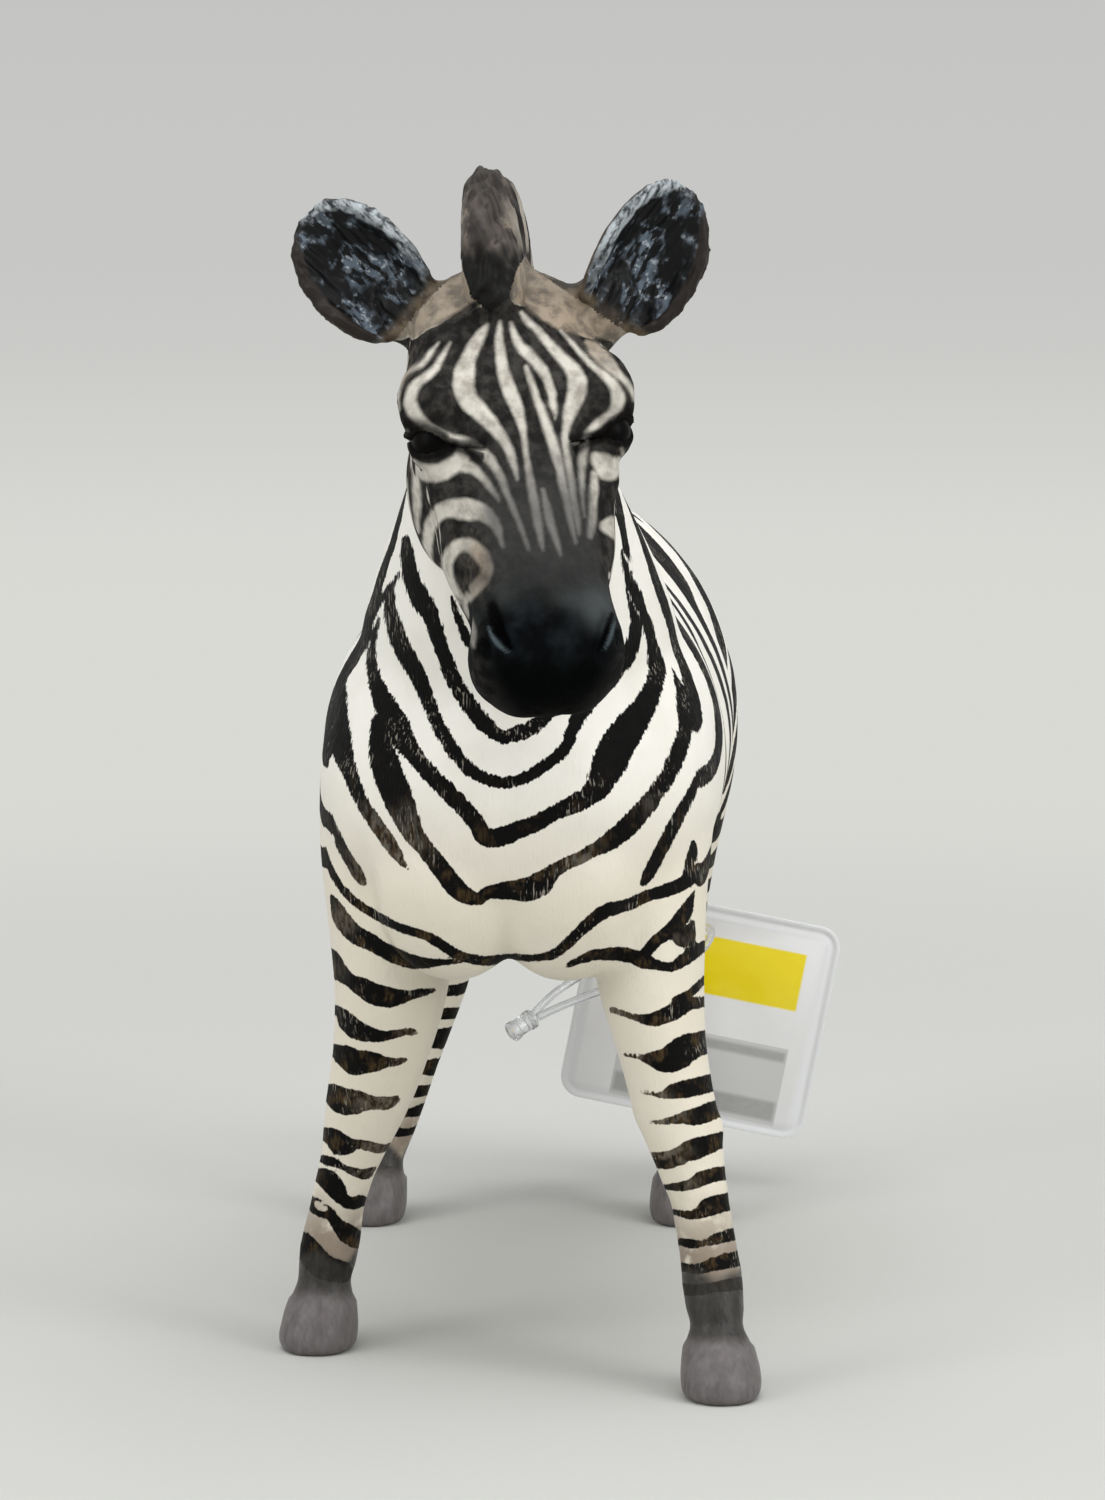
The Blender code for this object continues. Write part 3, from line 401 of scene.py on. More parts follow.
skin = melted([node_copy(name) for name in BODY_NODES])
print("melted", len(skin.data.vertices), "points")

# %% Smoothing and finer faces
SMOOTH_ROUNDS, PULL_LEVELS = 26, 8
SEAM_POINT = np.array((0.0, -28.78, 74.46))
SEAM_NORMAL = np.array((0.0, -0.9336, 0.3584))


def ahead_of_seam(places):
    """How far in front of the head's seam places lie."""
    return (places - SEAM_POINT) @ SEAM_NORMAL


def smooth_body(obj):
    """Smooth the skin, but pull less at thin parts, because smoothing wears them away."""
    pull = np.round((1 - thin_parts(points_of(obj))) * PULL_LEVELS).astype(int)
    group = obj.vertex_groups.new(name="pull")
    for level in range(1, PULL_LEVELS + 1):
        group.add(np.flatnonzero(pull == level).tolist(), level / PULL_LEVELS, "REPLACE")
    smooth = obj.modifiers.new("smooth", "SMOOTH")
    smooth.factor, smooth.iterations, smooth.vertex_group = 0.5, SMOOTH_ROUNDS, group.name
    bake(obj)
    obj.vertex_groups.clear()


def divide_fine_parts(obj):
    """Divide the faces of head, ears, mane and tail once."""
    centres = centres_of(obj)
    edit(obj, (ahead_of_seam(centres) > 0) | (thin_parts(centres) > 0.05))
    bpy.ops.mesh.subdivide(number_cuts=1, smoothness=0.6)
    pick()


smooth_body(skin)
divide_fine_parts(skin)
print("skin", len(skin.data.vertices), "points")

# %% [markdown]
# ## Sculpting the head
#
# The casting gives a plain head. A sculptor would push the clay with a thumb here: each row
# below is one such push, given in the head's own axes as sideways, along the face and out of
# the forehead, with its reach and its amount. A push beside the middle line is made on both
# sides of the face.

# %% Head axes
HEAD_TURN, HEAD_DROP, HEAD_ROLL = math.radians(14), math.radians(62), math.radians(3)
CROWN = np.array((-0.297, -34.109, 81.532))
facing = Vector((math.sin(HEAD_TURN), -math.cos(HEAD_TURN), 0))
roll = Matrix.Rotation(HEAD_ROLL, 3, facing)
HEAD_AXES = np.array([
    roll @ Vector((math.cos(HEAD_TURN), math.sin(HEAD_TURN), 0)),
    roll @ (facing * math.cos(HEAD_DROP) - Vector((0, 0, math.sin(HEAD_DROP)))),
    roll @ (facing * math.sin(HEAD_DROP) + Vector((0, 0, math.cos(HEAD_DROP)))),
])


def to_head(places):
    return (places - CROWN) @ HEAD_AXES.T


def from_head(local):
    return local @ HEAD_AXES + CROWN


print("the face points", round(math.degrees(HEAD_DROP)), "degrees down")

# %% Thumb pushes
# place, reach and amount, each sideways, along and out
PUSHES = (
    ((5.4, 8.3, 4.4), (2.6, 2.0, 3.0), (0.25, 0.10, 0.55)),    # brow above the eye
    ((3.4, 10.6, 5.0), (1.8, 2.4, 2.6), (0.00, 0.00, 0.30)),   # inner end of the brow
    ((4.6, 14.4, 4.6), (2.2, 3.0, 2.6), (-0.15, 0.00, -0.45)), # hollow below the inner corner
    ((6.0, 14.2, 1.6), (2.4, 2.2, 2.8), (0.35, 0.10, 0.20)),   # bag under the eye
    ((5.6, 18.4, 0.6), (2.2, 4.4, 2.4), (0.35, 0.00, 0.10)),   # ridge of the cheekbone
    ((0.0, 9.0, 5.4), (2.6, 7.0, 3.0), (0.00, 0.00, 0.20)),    # forehead
    ((0.0, 21.0, 4.8), (2.4, 6.0, 2.6), (0.00, 0.00, 0.30)),   # bridge of the nose
    ((5.0, 24.0, -1.0), (2.4, 3.0, 3.0), (-0.35, 0.00, 0.00)), # pinch behind the nostril
    ((4.7, 27.2, 2.6), (1.9, 2.6, 2.2), (0.40, 0.10, 0.35)),   # wing of the nostril
    ((0.0, 28.8, 3.4), (1.6, 2.6, 2.0), (0.00, 0.00, -0.20)),  # dip between the nostrils
    ((2.6, 30.6, -1.6), (2.6, 1.8, 1.8), (0.00, 0.35, 0.00)),  # upper lip
    ((0.0, 30.2, -4.0), (3.2, 1.8, 1.8), (0.00, 0.35, 0.00)),  # chin
    ((5.6, 19.5, -2.6), (3.0, 4.4, 4.0), (0.75, 0.00, 0.00)),  # side of the jaw
    ((4.3, 27.2, 2.0), (1.7, 1.7, 1.7), (0.35, 0.05, 0.55)),   # filled seat of the nostril
    ((0.0, -1.0, 3.6), (5.0, 3.2, 3.4), (0.00, 0.25, -0.85)),  # flat crown
    ((5.6, -0.6, 1.6), (2.6, 2.6, 2.6), (0.10, -0.45, 0.15)),  # rise to the ear
)


def push(places, centre, reach, amount):
    """Move the points near a centre, less towards the edge of its reach."""
    away = np.linalg.norm((places - np.array(centre)) / np.array(reach), axis=1)
    return places + np.outer(np.clip(1 - away**2, 0, 1) ** 2, np.array(amount))


def both_sides(centre, reach, amount):
    """A push and its mirror image, or one push where it lies on the middle line."""
    flips = [np.array((side, 1, 1)) for side in (-1, 1)]
    return [(flip * centre, reach, flip * amount) for flip in (flips if centre[0] else flips[1:])]


local = to_head(points_of(skin))
in_head = ahead_of_seam(points_of(skin)) > -0.5
for row in PUSHES:
    for thumb in both_sides(*row):
        local[in_head] = push(local[in_head], *thumb)
put_points(skin, from_head(local))
print("head points", int(in_head.sum()))

# %% [markdown]
# ## Eyes, nostrils and mouth
#
# These features are placed where they are seen from the front: a ray from the camera finds the
# spot on the skin. The eye is a low, glossy almond under a heavy upper lid. The nostril is a
# slanted slit with a raised rim, and the mouth a fine line round the muzzle.

# %% Spots and ridges on the skin


def surface(obj):
    """A search tree of an object's surface."""
    return BVHTree.FromObject(obj, bpy.context.evaluated_depsgraph_get())


def spot(tree, across, down):
    """The place, in the head's axes, that the camera sees at a place of the view."""
    place, *_ = tree.ray_cast(VIEW_POINT, view_ray(across, down))
    return to_head(np.array(place) / MM)


def ridge(local, normals, route, radius, height):
    """Raise or groove the skin along a row of points in the head's axes."""
    away, _ = nearest(local, route)
    weight = np.exp(-((away / radius) ** 2)) * (away < 3 * radius)
    return local + weight[:, None] * height * normals


# %% Eyelids
# the eyes with their mirroring, the ball, and the ways out of it, to its inner corner and up
EYES = {"eye_right": (-1, 1, 1), "eye_left": (1, 1, 1)}
EYE_CENTRE, EYE_RADIUS = (5.916, 10.88, 1.815), 2.14
EYE_OUT, EYE_INWARD, EYE_UP = (0.66, 0.16, 0.73), (-0.713, 0.422, 0.560), (-0.218, -0.890, 0.393)
ALMOND_HIGH, ALMOND_LONG = 0.36, 0.77
LID_RADIUS, UPPER_LID, LOWER_LID, LID_WIDE = 2.27, 0.46, 0.10, 0.13
LIDS_REACH, BALL_DEPTH, UPPER_SHARE, LOWER_SHARE, EDGE = 4.2, 0.35, 0.85, 1.05, 0.03


def carve_eye(local, flip):
    """Sink the almond opening under the eyeball and lay lids round it."""
    centre = np.array(EYE_CENTRE) * flip
    away = (local - centre) * flip
    radius = np.linalg.norm(away, axis=1)
    way = away / radius[:, None]
    inward, up, out = way @ EYE_INWARD, way @ EYE_UP, way @ EYE_OUT
    half = ALMOND_HIGH * np.clip(1 - ((inward + 0.03) / ALMOND_LONG) ** 2, 0, 1) ** 0.7
    past = np.abs(up) - half * np.where(up > 0, UPPER_SHARE, LOWER_SHARE)
    near = (radius < LIDS_REACH) & (out > -0.1)
    bead = np.exp(-(((past - 0.10) / LID_WIDE) ** 2))
    lid = LID_RADIUS + np.where(up > 0, UPPER_LID, LOWER_LID) * bead
    fade = step_up(out, 0.0, 0.25) * step_up(past, 0.75, 0.35)
    raised = np.maximum(radius, radius + (lid - radius) * fade)
    sunk = np.where(past < -EDGE, EYE_RADIUS - BALL_DEPTH, EYE_RADIUS)
    wanted = np.where(near, np.where(past > EDGE, raised, sunk), radius)
    rim = near * step_up(past, 0.30, 0.12) * step_up(out, -0.1, 0.1)
    return centre + way * wanted[:, None] * flip, rim


normals = normals_of(skin) @ HEAD_AXES.T
tree = surface(skin)
eye_rim = np.zeros(len(local))
for flip in EYES.values():
    local, rim = carve_eye(local, np.array(flip))
    eye_rim = np.maximum(eye_rim, rim)
put_values(skin, eye_rim=eye_rim)
print("points on the eyes' rims", int((eye_rim > 0.5).sum()))

# %% Forelock, nostrils and mouth
FORELOCK_VIEW = ((501, 300), (504, 309), (506, 317))
NOSTRIL_VIEW = {
    -1: ((489, 604), (492, 618), (498, 632), (508, 649)),
    1: ((609, 618), (606, 630), (603, 641), (600, 650)),
}
FORELOCK_RIDGE, NOSTRIL_WING = (0.8, 0.55), (0.45, 0.30)  # radius and height
NOSTRIL_SLIT, MOUTH_LINE = (0.50, -0.75), (0.30, -0.30)
MOUTH_HALF, MOUTH_AHEAD, MOUTH_BELOW = 6, 30.2, -2.6

forelock = [spot(tree, *place) for place in FORELOCK_VIEW]
local = ridge(local, normals, forelock, *FORELOCK_RIDGE)
for side, route in NOSTRIL_VIEW.items():
    slit = [spot(tree, *place) for place in route]
    beside = np.array((side, 0.4, 0.2)) * 0.55
    local = ridge(local, normals, [place + beside for place in slit[1:]], *NOSTRIL_WING)
    local = ridge(local, normals, slit, *NOSTRIL_SLIT)
mouth = [(x, MOUTH_AHEAD - 0.16 * x * x, MOUTH_BELOW + 0.02 * x * x)
         for x in np.linspace(-MOUTH_HALF, MOUTH_HALF, 9)]
local = ridge(local, normals, mouth, *MOUTH_LINE)
put_points(skin, from_head(local))
print("nostrils and mouth carved")

# %% [markdown]
# ## Muscles, joints and hooves
#
# The same kind of push, in the figure's own axes, gives the body what its castings leave out:
# the groove down the breast, the folds above the forelegs, the knees, the shoulder blades and
# the flanks. Each hoof gets a ledge where it meets its leg.

# %% Body pushes
BODY_PUSHES = (
    ((0.0, -33.5, 47.0), (1.6, 3.0, 9.0), (0.0, 0.35, 0.0)),                # groove down the breast
    *both_sides((7.0, -32.0, 47.0), (4.0, 4.0, 7.0), (0.0, -0.45, 0.0)),    # breast muscles
    ((-11.5, -27.5, 38.0), (2.2, 3.0, 5.0), (0.2, 0.45, 0.0)),              # fold by each foreleg
    ((9.5, -29.5, 36.0), (2.2, 3.0, 5.0), (-0.2, 0.45, 0.0)),
    ((-12.0, -19.5, 20.0), (2.4, 2.4, 2.6), (0.0, -0.35, 0.0)),             # knees, from the front
    ((13.4, -27.0, 20.0), (2.4, 2.4, 2.6), (0.0, -0.35, 0.0)),
    ((-11.2, -19.0, 20.5), (2.0, 3.2, 2.2), (0.38, 0.0, 0.0)),              # and from the sides
    ((-17.2, -19.0, 20.5), (2.0, 3.2, 2.2), (-0.30, 0.0, 0.0)),
    ((10.9, -26.5, 21.0), (2.0, 3.2, 2.2), (-0.42, 0.0, 0.0)),
    ((17.2, -26.5, 20.0), (2.0, 3.2, 2.2), (0.42, 0.0, 0.0)),
    ((12.8, -29.0, 14.5), (1.8, 3.2, 2.4), (0.26, 0.0, 0.0)),               # cannons
    ((17.8, -29.0, 14.5), (1.8, 3.2, 2.4), (-0.22, 0.0, 0.0)),
    ((-12.6, -18.4, 14.5), (1.8, 3.2, 2.4), (-0.24, 0.0, 0.0)),
    ((12.6, 32.8, 24.6), (1.6, 2.8, 1.8), (-0.18, 0.04, 0.0)),              # room for the tag's loop
    *both_sides((14.0, -12.0, 52.0), (5.0, 5.0, 8.0), (0.35, 0.0, 0.0)),    # shoulder blades
    *both_sides((15.0, -3.0, 50.0), (4.0, 3.0, 8.0), (-0.35, 0.0, 0.0)),    # behind the shoulder
    *both_sides((15.0, 17.0, 50.0), (4.0, 4.0, 8.0), (-0.45, 0.0, 0.0)),    # flanks
)
places = points_of(skin)
for thumb in BODY_PUSHES:
    places = push(places, *thumb)
print("body pushed", len(BODY_PUSHES), "times")

# %% Hooves and fetlocks
# the middle of each sole, and the height of the dark fetlock
HOOVES = {
    "foreleg_right": (-16.0, -18.0, 7.4), "foreleg_left": (16.2, -31.4, 9.2),
    "hindleg_right": (-16.4, 28.4, 6.4), "hindleg_left": (11.5, 29.8, 6.6),
}
HOOF_HIGH, HOOF_SLOPE, HOOF_REACH, HOOF_FLARE = 4.0, 0.16, 5.5, 0.075
PASTERN_ABOVE, PASTERN_HIGH, PASTERN_PINCH, FRONT_PINCH = 1.3, 0.9, 0.06, 0.10
FETLOCK_REACH, DUST_HIGH = 9, 7

hoof, fetlock, dust = np.zeros((3, len(places)))
for x, y, _ in HOOVES.values():
    from_axis = places[:, :2] - (x, y)
    near = (np.linalg.norm(from_axis, axis=1) < HOOF_REACH) & (places[:, 2] < 12)
    ledge = HOOF_HIGH - HOOF_SLOPE * from_axis[:, 1]
    pinch = np.exp(-((places[:, 2] - ledge - PASTERN_ABOVE) / PASTERN_HIGH) ** 2)
    pinch *= FRONT_PINCH if y < -25 else PASTERN_PINCH
    flare = step_up(places[:, 2], ledge + 0.16, ledge - 0.12) * HOOF_FLARE
    grow = np.where(near, 1 - pinch + flare, 1)[:, None]
    places[:, :2] = np.where(near[:, None], (x, y) + from_axis * grow, places[:, :2])
    hoof = np.maximum(hoof, near * step_up(places[:, 2], ledge + 0.9, ledge - 0.3))
places[:, 2] = np.maximum(places[:, 2], 0)
put_points(skin, places)
uneven = places[:, 2] + 0.5 * faded(places, 31, 4)
for x, y, height in HOOVES.values():
    near = np.linalg.norm(places[:, :2] - (x, y), axis=1) < FETLOCK_REACH
    fetlock = np.maximum(fetlock, near * step_up(uneven, height + 0.5, height - 0.4))
    dust = np.maximum(dust, near * step_up(uneven, height + DUST_HIGH, height + 1))
put_values(skin, hoof=hoof, fetlock=fetlock, dust=dust)
print("hoof points", int((hoof > 0.5).sum()))

# %% [markdown]
# ## Hair on ears, mane and tail
#
# Hair is carved as grooves that run along it. Waves on each part's own chart, drawn out in the
# hair's direction, lift and sink the skin. The mane's edge is jagged where its strands end.

# %% Hair of the ears
places, normals = points_of(skin), normals_of(skin)
stored = {name: np.zeros(len(places)) for name in ("inside", "rim", "along", "across", "hair")}
lift = np.zeros(len(places))
EAR_STEPS = np.arange(0.5, 14, 0.5)
EAR_HAIR, EAR_CLUMPS, EAR_BACK, EAR_RIM, SINK = 0.12, 0.14, 0.035, 0.05, 0.10


def store(on_part, **values):
    """Keep values for the shader where a part is."""
    for name, numbers in values.items():
        stored[name] = np.where(on_part > 0, numbers, stored[name])


def ear_edge(along, out):
    """1 on the rim of an ear, which is its highest places across and its tip."""
    slices = [out[np.abs(along - step) < 0.45] for step in EAR_STEPS]
    tops = [np.percentile(part, 99) if len(part) else 0 for part in slices]
    high, tip = np.interp(along, EAR_STEPS, tops), along.max()
    edge = np.maximum(step_up(out, high - 0.75, high - 0.2), step_up(along, tip - 1.1, tip - 0.4))
    return edge * step_up(along, 1.0, 3.0)


for name, (root, axis, _) in EARS.items():
    along, across, out, opening = ear_chart(places, name)
    on_ear, edge = step_up(along, 0.7, 1.6), ear_edge(along, out)
    cup = step_up(normals @ opening, 0.05, 0.35) * step_up(along, 1.2, 2.4)
    chart = np.stack([across, along * 0.28, out * 0.5], axis=1)
    strands = faded(chart, 41, 0.9) * 0.6 + faded(chart, 42, 0.5) * 0.4
    clumps = faded(np.stack([across, along * 0.6, out], axis=1), 43, 2.4)
    carve = cup * (EAR_HAIR * strands + EAR_CLUMPS * clumps) * (1 - 0.5 * edge) - SINK
    carve += (1 - cup) * EAR_BACK * faded(chart, 44, 0.8) + edge * EAR_RIM * faded(chart, 45, 0.6)
    lift += on_ear * carve
    # The rim is stored positive on its upper edge, for a painted highlight, and negative on its lower
    # edge, for painted shade.
    raised = step_up((places - root)[:, 2] - along * axis[2], -2.2, 0.6)
    store(on_ear, inside=cup, rim=edge * (2.0 * raised - 1.0), along=along, across=across, hair=strands)
print("ear points", int((stored["inside"] > 0.5).sum()))

# %% Hair of the mane and the tail
MANE_HAIR, MANE_SINK, TAIL_HAIR, TUFT_HAIR = 0.17, 0.06, 0.03, 0.19
TAIL_BEHIND, TAIL_HEIGHTS, TAIL_SIDEWAYS = 47.6, (26, 40, 60), (-3.8, -1.2, 0)

row, share, strand = mane_chart(places)
comb = np.stack([row * 2.2, places[:, 0] * 0.8, share * 1.2], axis=1)
strands = 0.5 * faded(comb, 51, 1.0) + 0.3 * faded(comb, 52, 0.55) + 0.4 * faded(comb, 53, 2.4)
on_mane = step_up(share, 0.05, 0.25)
lift += on_mane * (MANE_HAIR * strands - MANE_SINK)
jag = 0.36 * faded(comb * (1, 1.6, 0), 54, 1.1) + 0.28 * faded(comb * (1, 1, 0), 55, 2.6) - 0.14
jag *= step_up(share, 0.72, 1.0) * on_mane
store(on_mane, hair=strands, along=share * 8, across=row * 2.2 + places[:, 0] * 0.8)

away, down = nearest(places, TAIL_ROUTE)
on_tail = (away < TAIL_REACH) * step_up(down, 1.1, 1.6)
tuft = step_up(down, 5.7, 6.4) * (on_tail > 0)
middle = np.interp(places[:, 2], TAIL_HEIGHTS, TAIL_SIDEWAYS)
turn = np.arctan2(places[:, 1] - TAIL_BEHIND, places[:, 0] - middle)
comb = np.stack([np.cos(turn) * 2.6, np.sin(turn) * 2.6, places[:, 2] * 0.16], axis=1)
strands = 0.6 * faded(comb, 61, 1.1) + 0.4 * faded(comb, 62, 0.6)
lift += on_tail * (strands * (TAIL_HAIR + TUFT_HAIR * tuft) - SINK)
store(on_tail, hair=strands, along=places[:, 2], across=turn * 1.6)
print("mane and tail points", int((on_mane > 0.5).sum()), int((on_tail > 0.5).sum()))

# %% Carving and bands
MANE_BAND, TAIL_BANDS = 1.62, 1.35  # rows of the mane to a band, bands to a point of the tail

places += normals * lift[:, None]
places[:, 1:] += strand * jag[:, None]
put_points(skin, places)
jagged = places[:, 2] + 0.55 * faded(places * (3, 1, 0.5), 58, 1.6)
mane_wave = np.sin(2 * math.pi * (row / MANE_BAND + 0.1 * faded(places, 56, 6)))
tail_wave = np.sin(2 * math.pi * (down * TAIL_BANDS + 0.06 * faded(places, 63, 3)))
put_values(
    skin, **stored, share=share, tuft=tuft,
    side=step_up(np.abs(normals[:, 0]), 0.45, 0.75) * step_up(row, 1.0, 3.0),
    mane_bands=mane_wave + 0.25 * faded(places, 57, 1.2),
    tail_bands=tail_wave + 0.2 * faded(places, 64, 1.4),
    forelock=step_up(jagged, 87.0, 85.6) * step_up(places[:, 1], -31, -33))
print("carved up to", round(float(np.abs(lift).max()), 2), "mm")

# %% [markdown]
# ## The stripes
#
# A painter lays the stripes on by hand, so they are kept as strokes: rows of points with a
# width, and a fourth number where the paint runs out into brown. On the body the strokes are
# black on cream. On the face they are the light lines that the dark paint leaves free.
# What the front view can't show has strokes of its own on the side view.

# %% Strokes of the breast and forelegs, on the front view
BREAST = (
    ((399, 573, 3), (388, 590, 6), (376, 607, 8), (365, 627, 9), (355, 648, 11), (346, 668, 15),
     (337, 690, 22), (334, 712, 27), (338, 735, 26), (344, 757, 20), (352, 778, 15), (359, 796, 13),
     (370, 815, 14, .5), (383, 834, 15, 1), (394, 850, 13, 1), (402, 862, 8, 1), (408, 869, 2, 1)),
    ((406, 540, 10), (408, 560, 15), (412, 580, 18), (420, 598, 20), (430, 615, 18),
     (437, 633, 15), (443, 652, 15), (450, 672, 15), (459, 690, 16), (470, 706, 17),
     (482, 721, 17), (494, 732, 15), (504, 737, 14), (516, 734, 15), (530, 729, 15),
     (541, 720, 15), (550, 710, 12), (556, 702, 6)),
    ((452, 598, 4), (456, 612, 7), (461, 625, 8), (467, 638, 9), (473, 650, 9), (480, 660, 6)),
    ((396, 578, 3), (391, 590, 7), (390, 605, 12), (393, 622, 16), (399, 640, 18), (408, 658, 18),
     (418, 676, 17), (425, 692, 15), (431, 708, 14), (438, 725, 14), (447, 741, 14),
     (457, 756, 13), (468, 768, 13), (480, 776, 12), (493, 781, 12), (505, 783, 12),
     (518, 780, 12), (530, 775, 12), (541, 768, 12), (552, 761, 12), (562, 752, 13),
     (568, 742, 12), (572, 730, 13), (578, 718, 15), (586, 706, 16), (598, 693, 14),
     (610, 680, 14), (620, 668, 15), (628, 655, 16), (634, 640, 14), (636, 625, 12),
     (633, 612, 8), (629, 600, 5), (626, 588, 2)),
    ((379, 618, 2), (374, 635, 7), (371, 655, 10), (374, 675, 13), (380, 693, 18), (388, 710, 24),
     (397, 727, 26), (405, 742, 22), (414, 755, 17), (425, 769, 17), (438, 782, 17),
     (451, 795, 18), (464, 808, 17), (475, 822, 17), (484, 836, 18), (494, 838, 20),
     (508, 834, 19), (522, 829, 18), (538, 822, 17), (554, 813, 16), (570, 806, 18),
     (584, 799, 20), (597, 788, 25), (605, 772, 32), (613, 755, 36), (622, 738, 34),
     (634, 722, 30), (645, 705, 24), (653, 688, 19), (657, 670, 17), (654, 652, 14),
     (650, 632, 12), (644, 612, 12), (636, 594, 12), (629, 578, 9), (624, 562, 5), (621, 550, 2)),
    ((379, 722, 16), (380, 740, 22), (383, 757, 28), (389, 776, 30), (397, 795, 30),
     (405, 815, 26, .3), (413, 832, 22, .5), (424, 847, 18, .4), (436, 862, 18), (446, 876, 19),
     (456, 888, 19), (467, 896, 17), (479, 899, 12), (486, 893, 12), (498, 891, 16),
     (512, 890, 20), (526, 890, 24), (540, 884, 24), (553, 872, 16), (566, 864, 13, .6),
     (580, 858, 13, .8), (594, 850, 14, .5), (608, 842, 18), (622, 832, 20), (636, 818, 20),
     (648, 804, 18, .3), (658, 790, 17), (668, 775, 17), (676, 758, 17), (683, 740, 16),
     (686, 722, 15), (684, 704, 14), (681, 686, 12), (677, 668, 10), (674, 650, 10),
     (670, 632, 10), (665, 615, 10), (659, 603, 8), (654, 598, 4)),
    ((315, 745, 2), (315, 780, 4), (317, 810, 5), (320, 835, 6), (326, 858, 7), (334, 876, 7),
     (345, 892, 8), (358, 904, 9), (372, 913, 9), (388, 922, 9), (404, 929, 9), (420, 934, 9),
     (434, 940, 10), (446, 948, 10), (458, 955, 10), (472, 959, 10), (486, 961, 10),
     (500, 959, 9), (514, 957, 7), (528, 958, 7), (543, 957, 8), (556, 953, 10), (567, 944, 11),
     (577, 934, 11), (589, 923, 12), (602, 913, 14), (616, 908, 13), (632, 903, 12),
     (648, 896, 12), (664, 891, 13), (680, 885, 14), (694, 875, 14), (705, 862, 12),
     (711, 846, 9), (712, 828, 7), (713, 810, 5), (716, 790, 3)),
    ((318, 785, 3), (324, 805, 8), (332, 825, 9), (340, 843, 10), (349, 860, 11, .4),
     (358, 874, 12, .7), (363, 882, 8, .8)),
    ((708, 745, 2), (702, 765, 6), (695, 785, 8), (685, 805, 11), (674, 825, 13), (664, 845, 14),
     (655, 862, 13), (648, 875, 12), (643, 884, 6)),
    ((711, 735, 2), (707, 765, 6), (704, 795, 8), (702, 820, 9), (696, 842, 10), (690, 862, 10),
     (686, 878, 8)),
    ((678, 632, 2), (688, 655, 5), (698, 680, 8), (706, 705, 8), (711, 730, 7), (713, 755, 5),
     (714, 780, 3)),
    ((687, 662, 5), (690, 685, 8), (698, 708, 9), (702, 725, 6), (703, 745, 3)),
    ((684, 618, 2), (700, 640, 4), (713, 663, 6), (722, 690, 8), (727, 720, 8), (727, 750, 7),
     (723, 780, 6), (718, 810, 4)),
    ((331, 898, 8), (337, 910, 15, .5), (346, 925, 18, .7), (358, 936, 18), (372, 943, 17),
     (386, 951, 16), (400, 958, 16), (414, 962, 14), (428, 963, 10), (444, 962, 7), (460, 962, 3)),
    ((566, 966, 3), (578, 961, 8), (592, 956, 11), (606, 954, 13), (620, 954, 14),
     (634, 957, 15), (644, 961, 16), (658, 965, 10), (672, 967, 10), (684, 960, 13),
     (694, 952, 14), (702, 946, 13)),
    ((642, 956, 10), (650, 948, 12), (660, 938, 12), (674, 928, 16), (684, 914, 14),
     (692, 900, 10), (699, 888, 3)),
    ((672, 934, 8, .3), (682, 940, 15, .3), (691, 934, 19, .2), (698, 924, 12)),
)
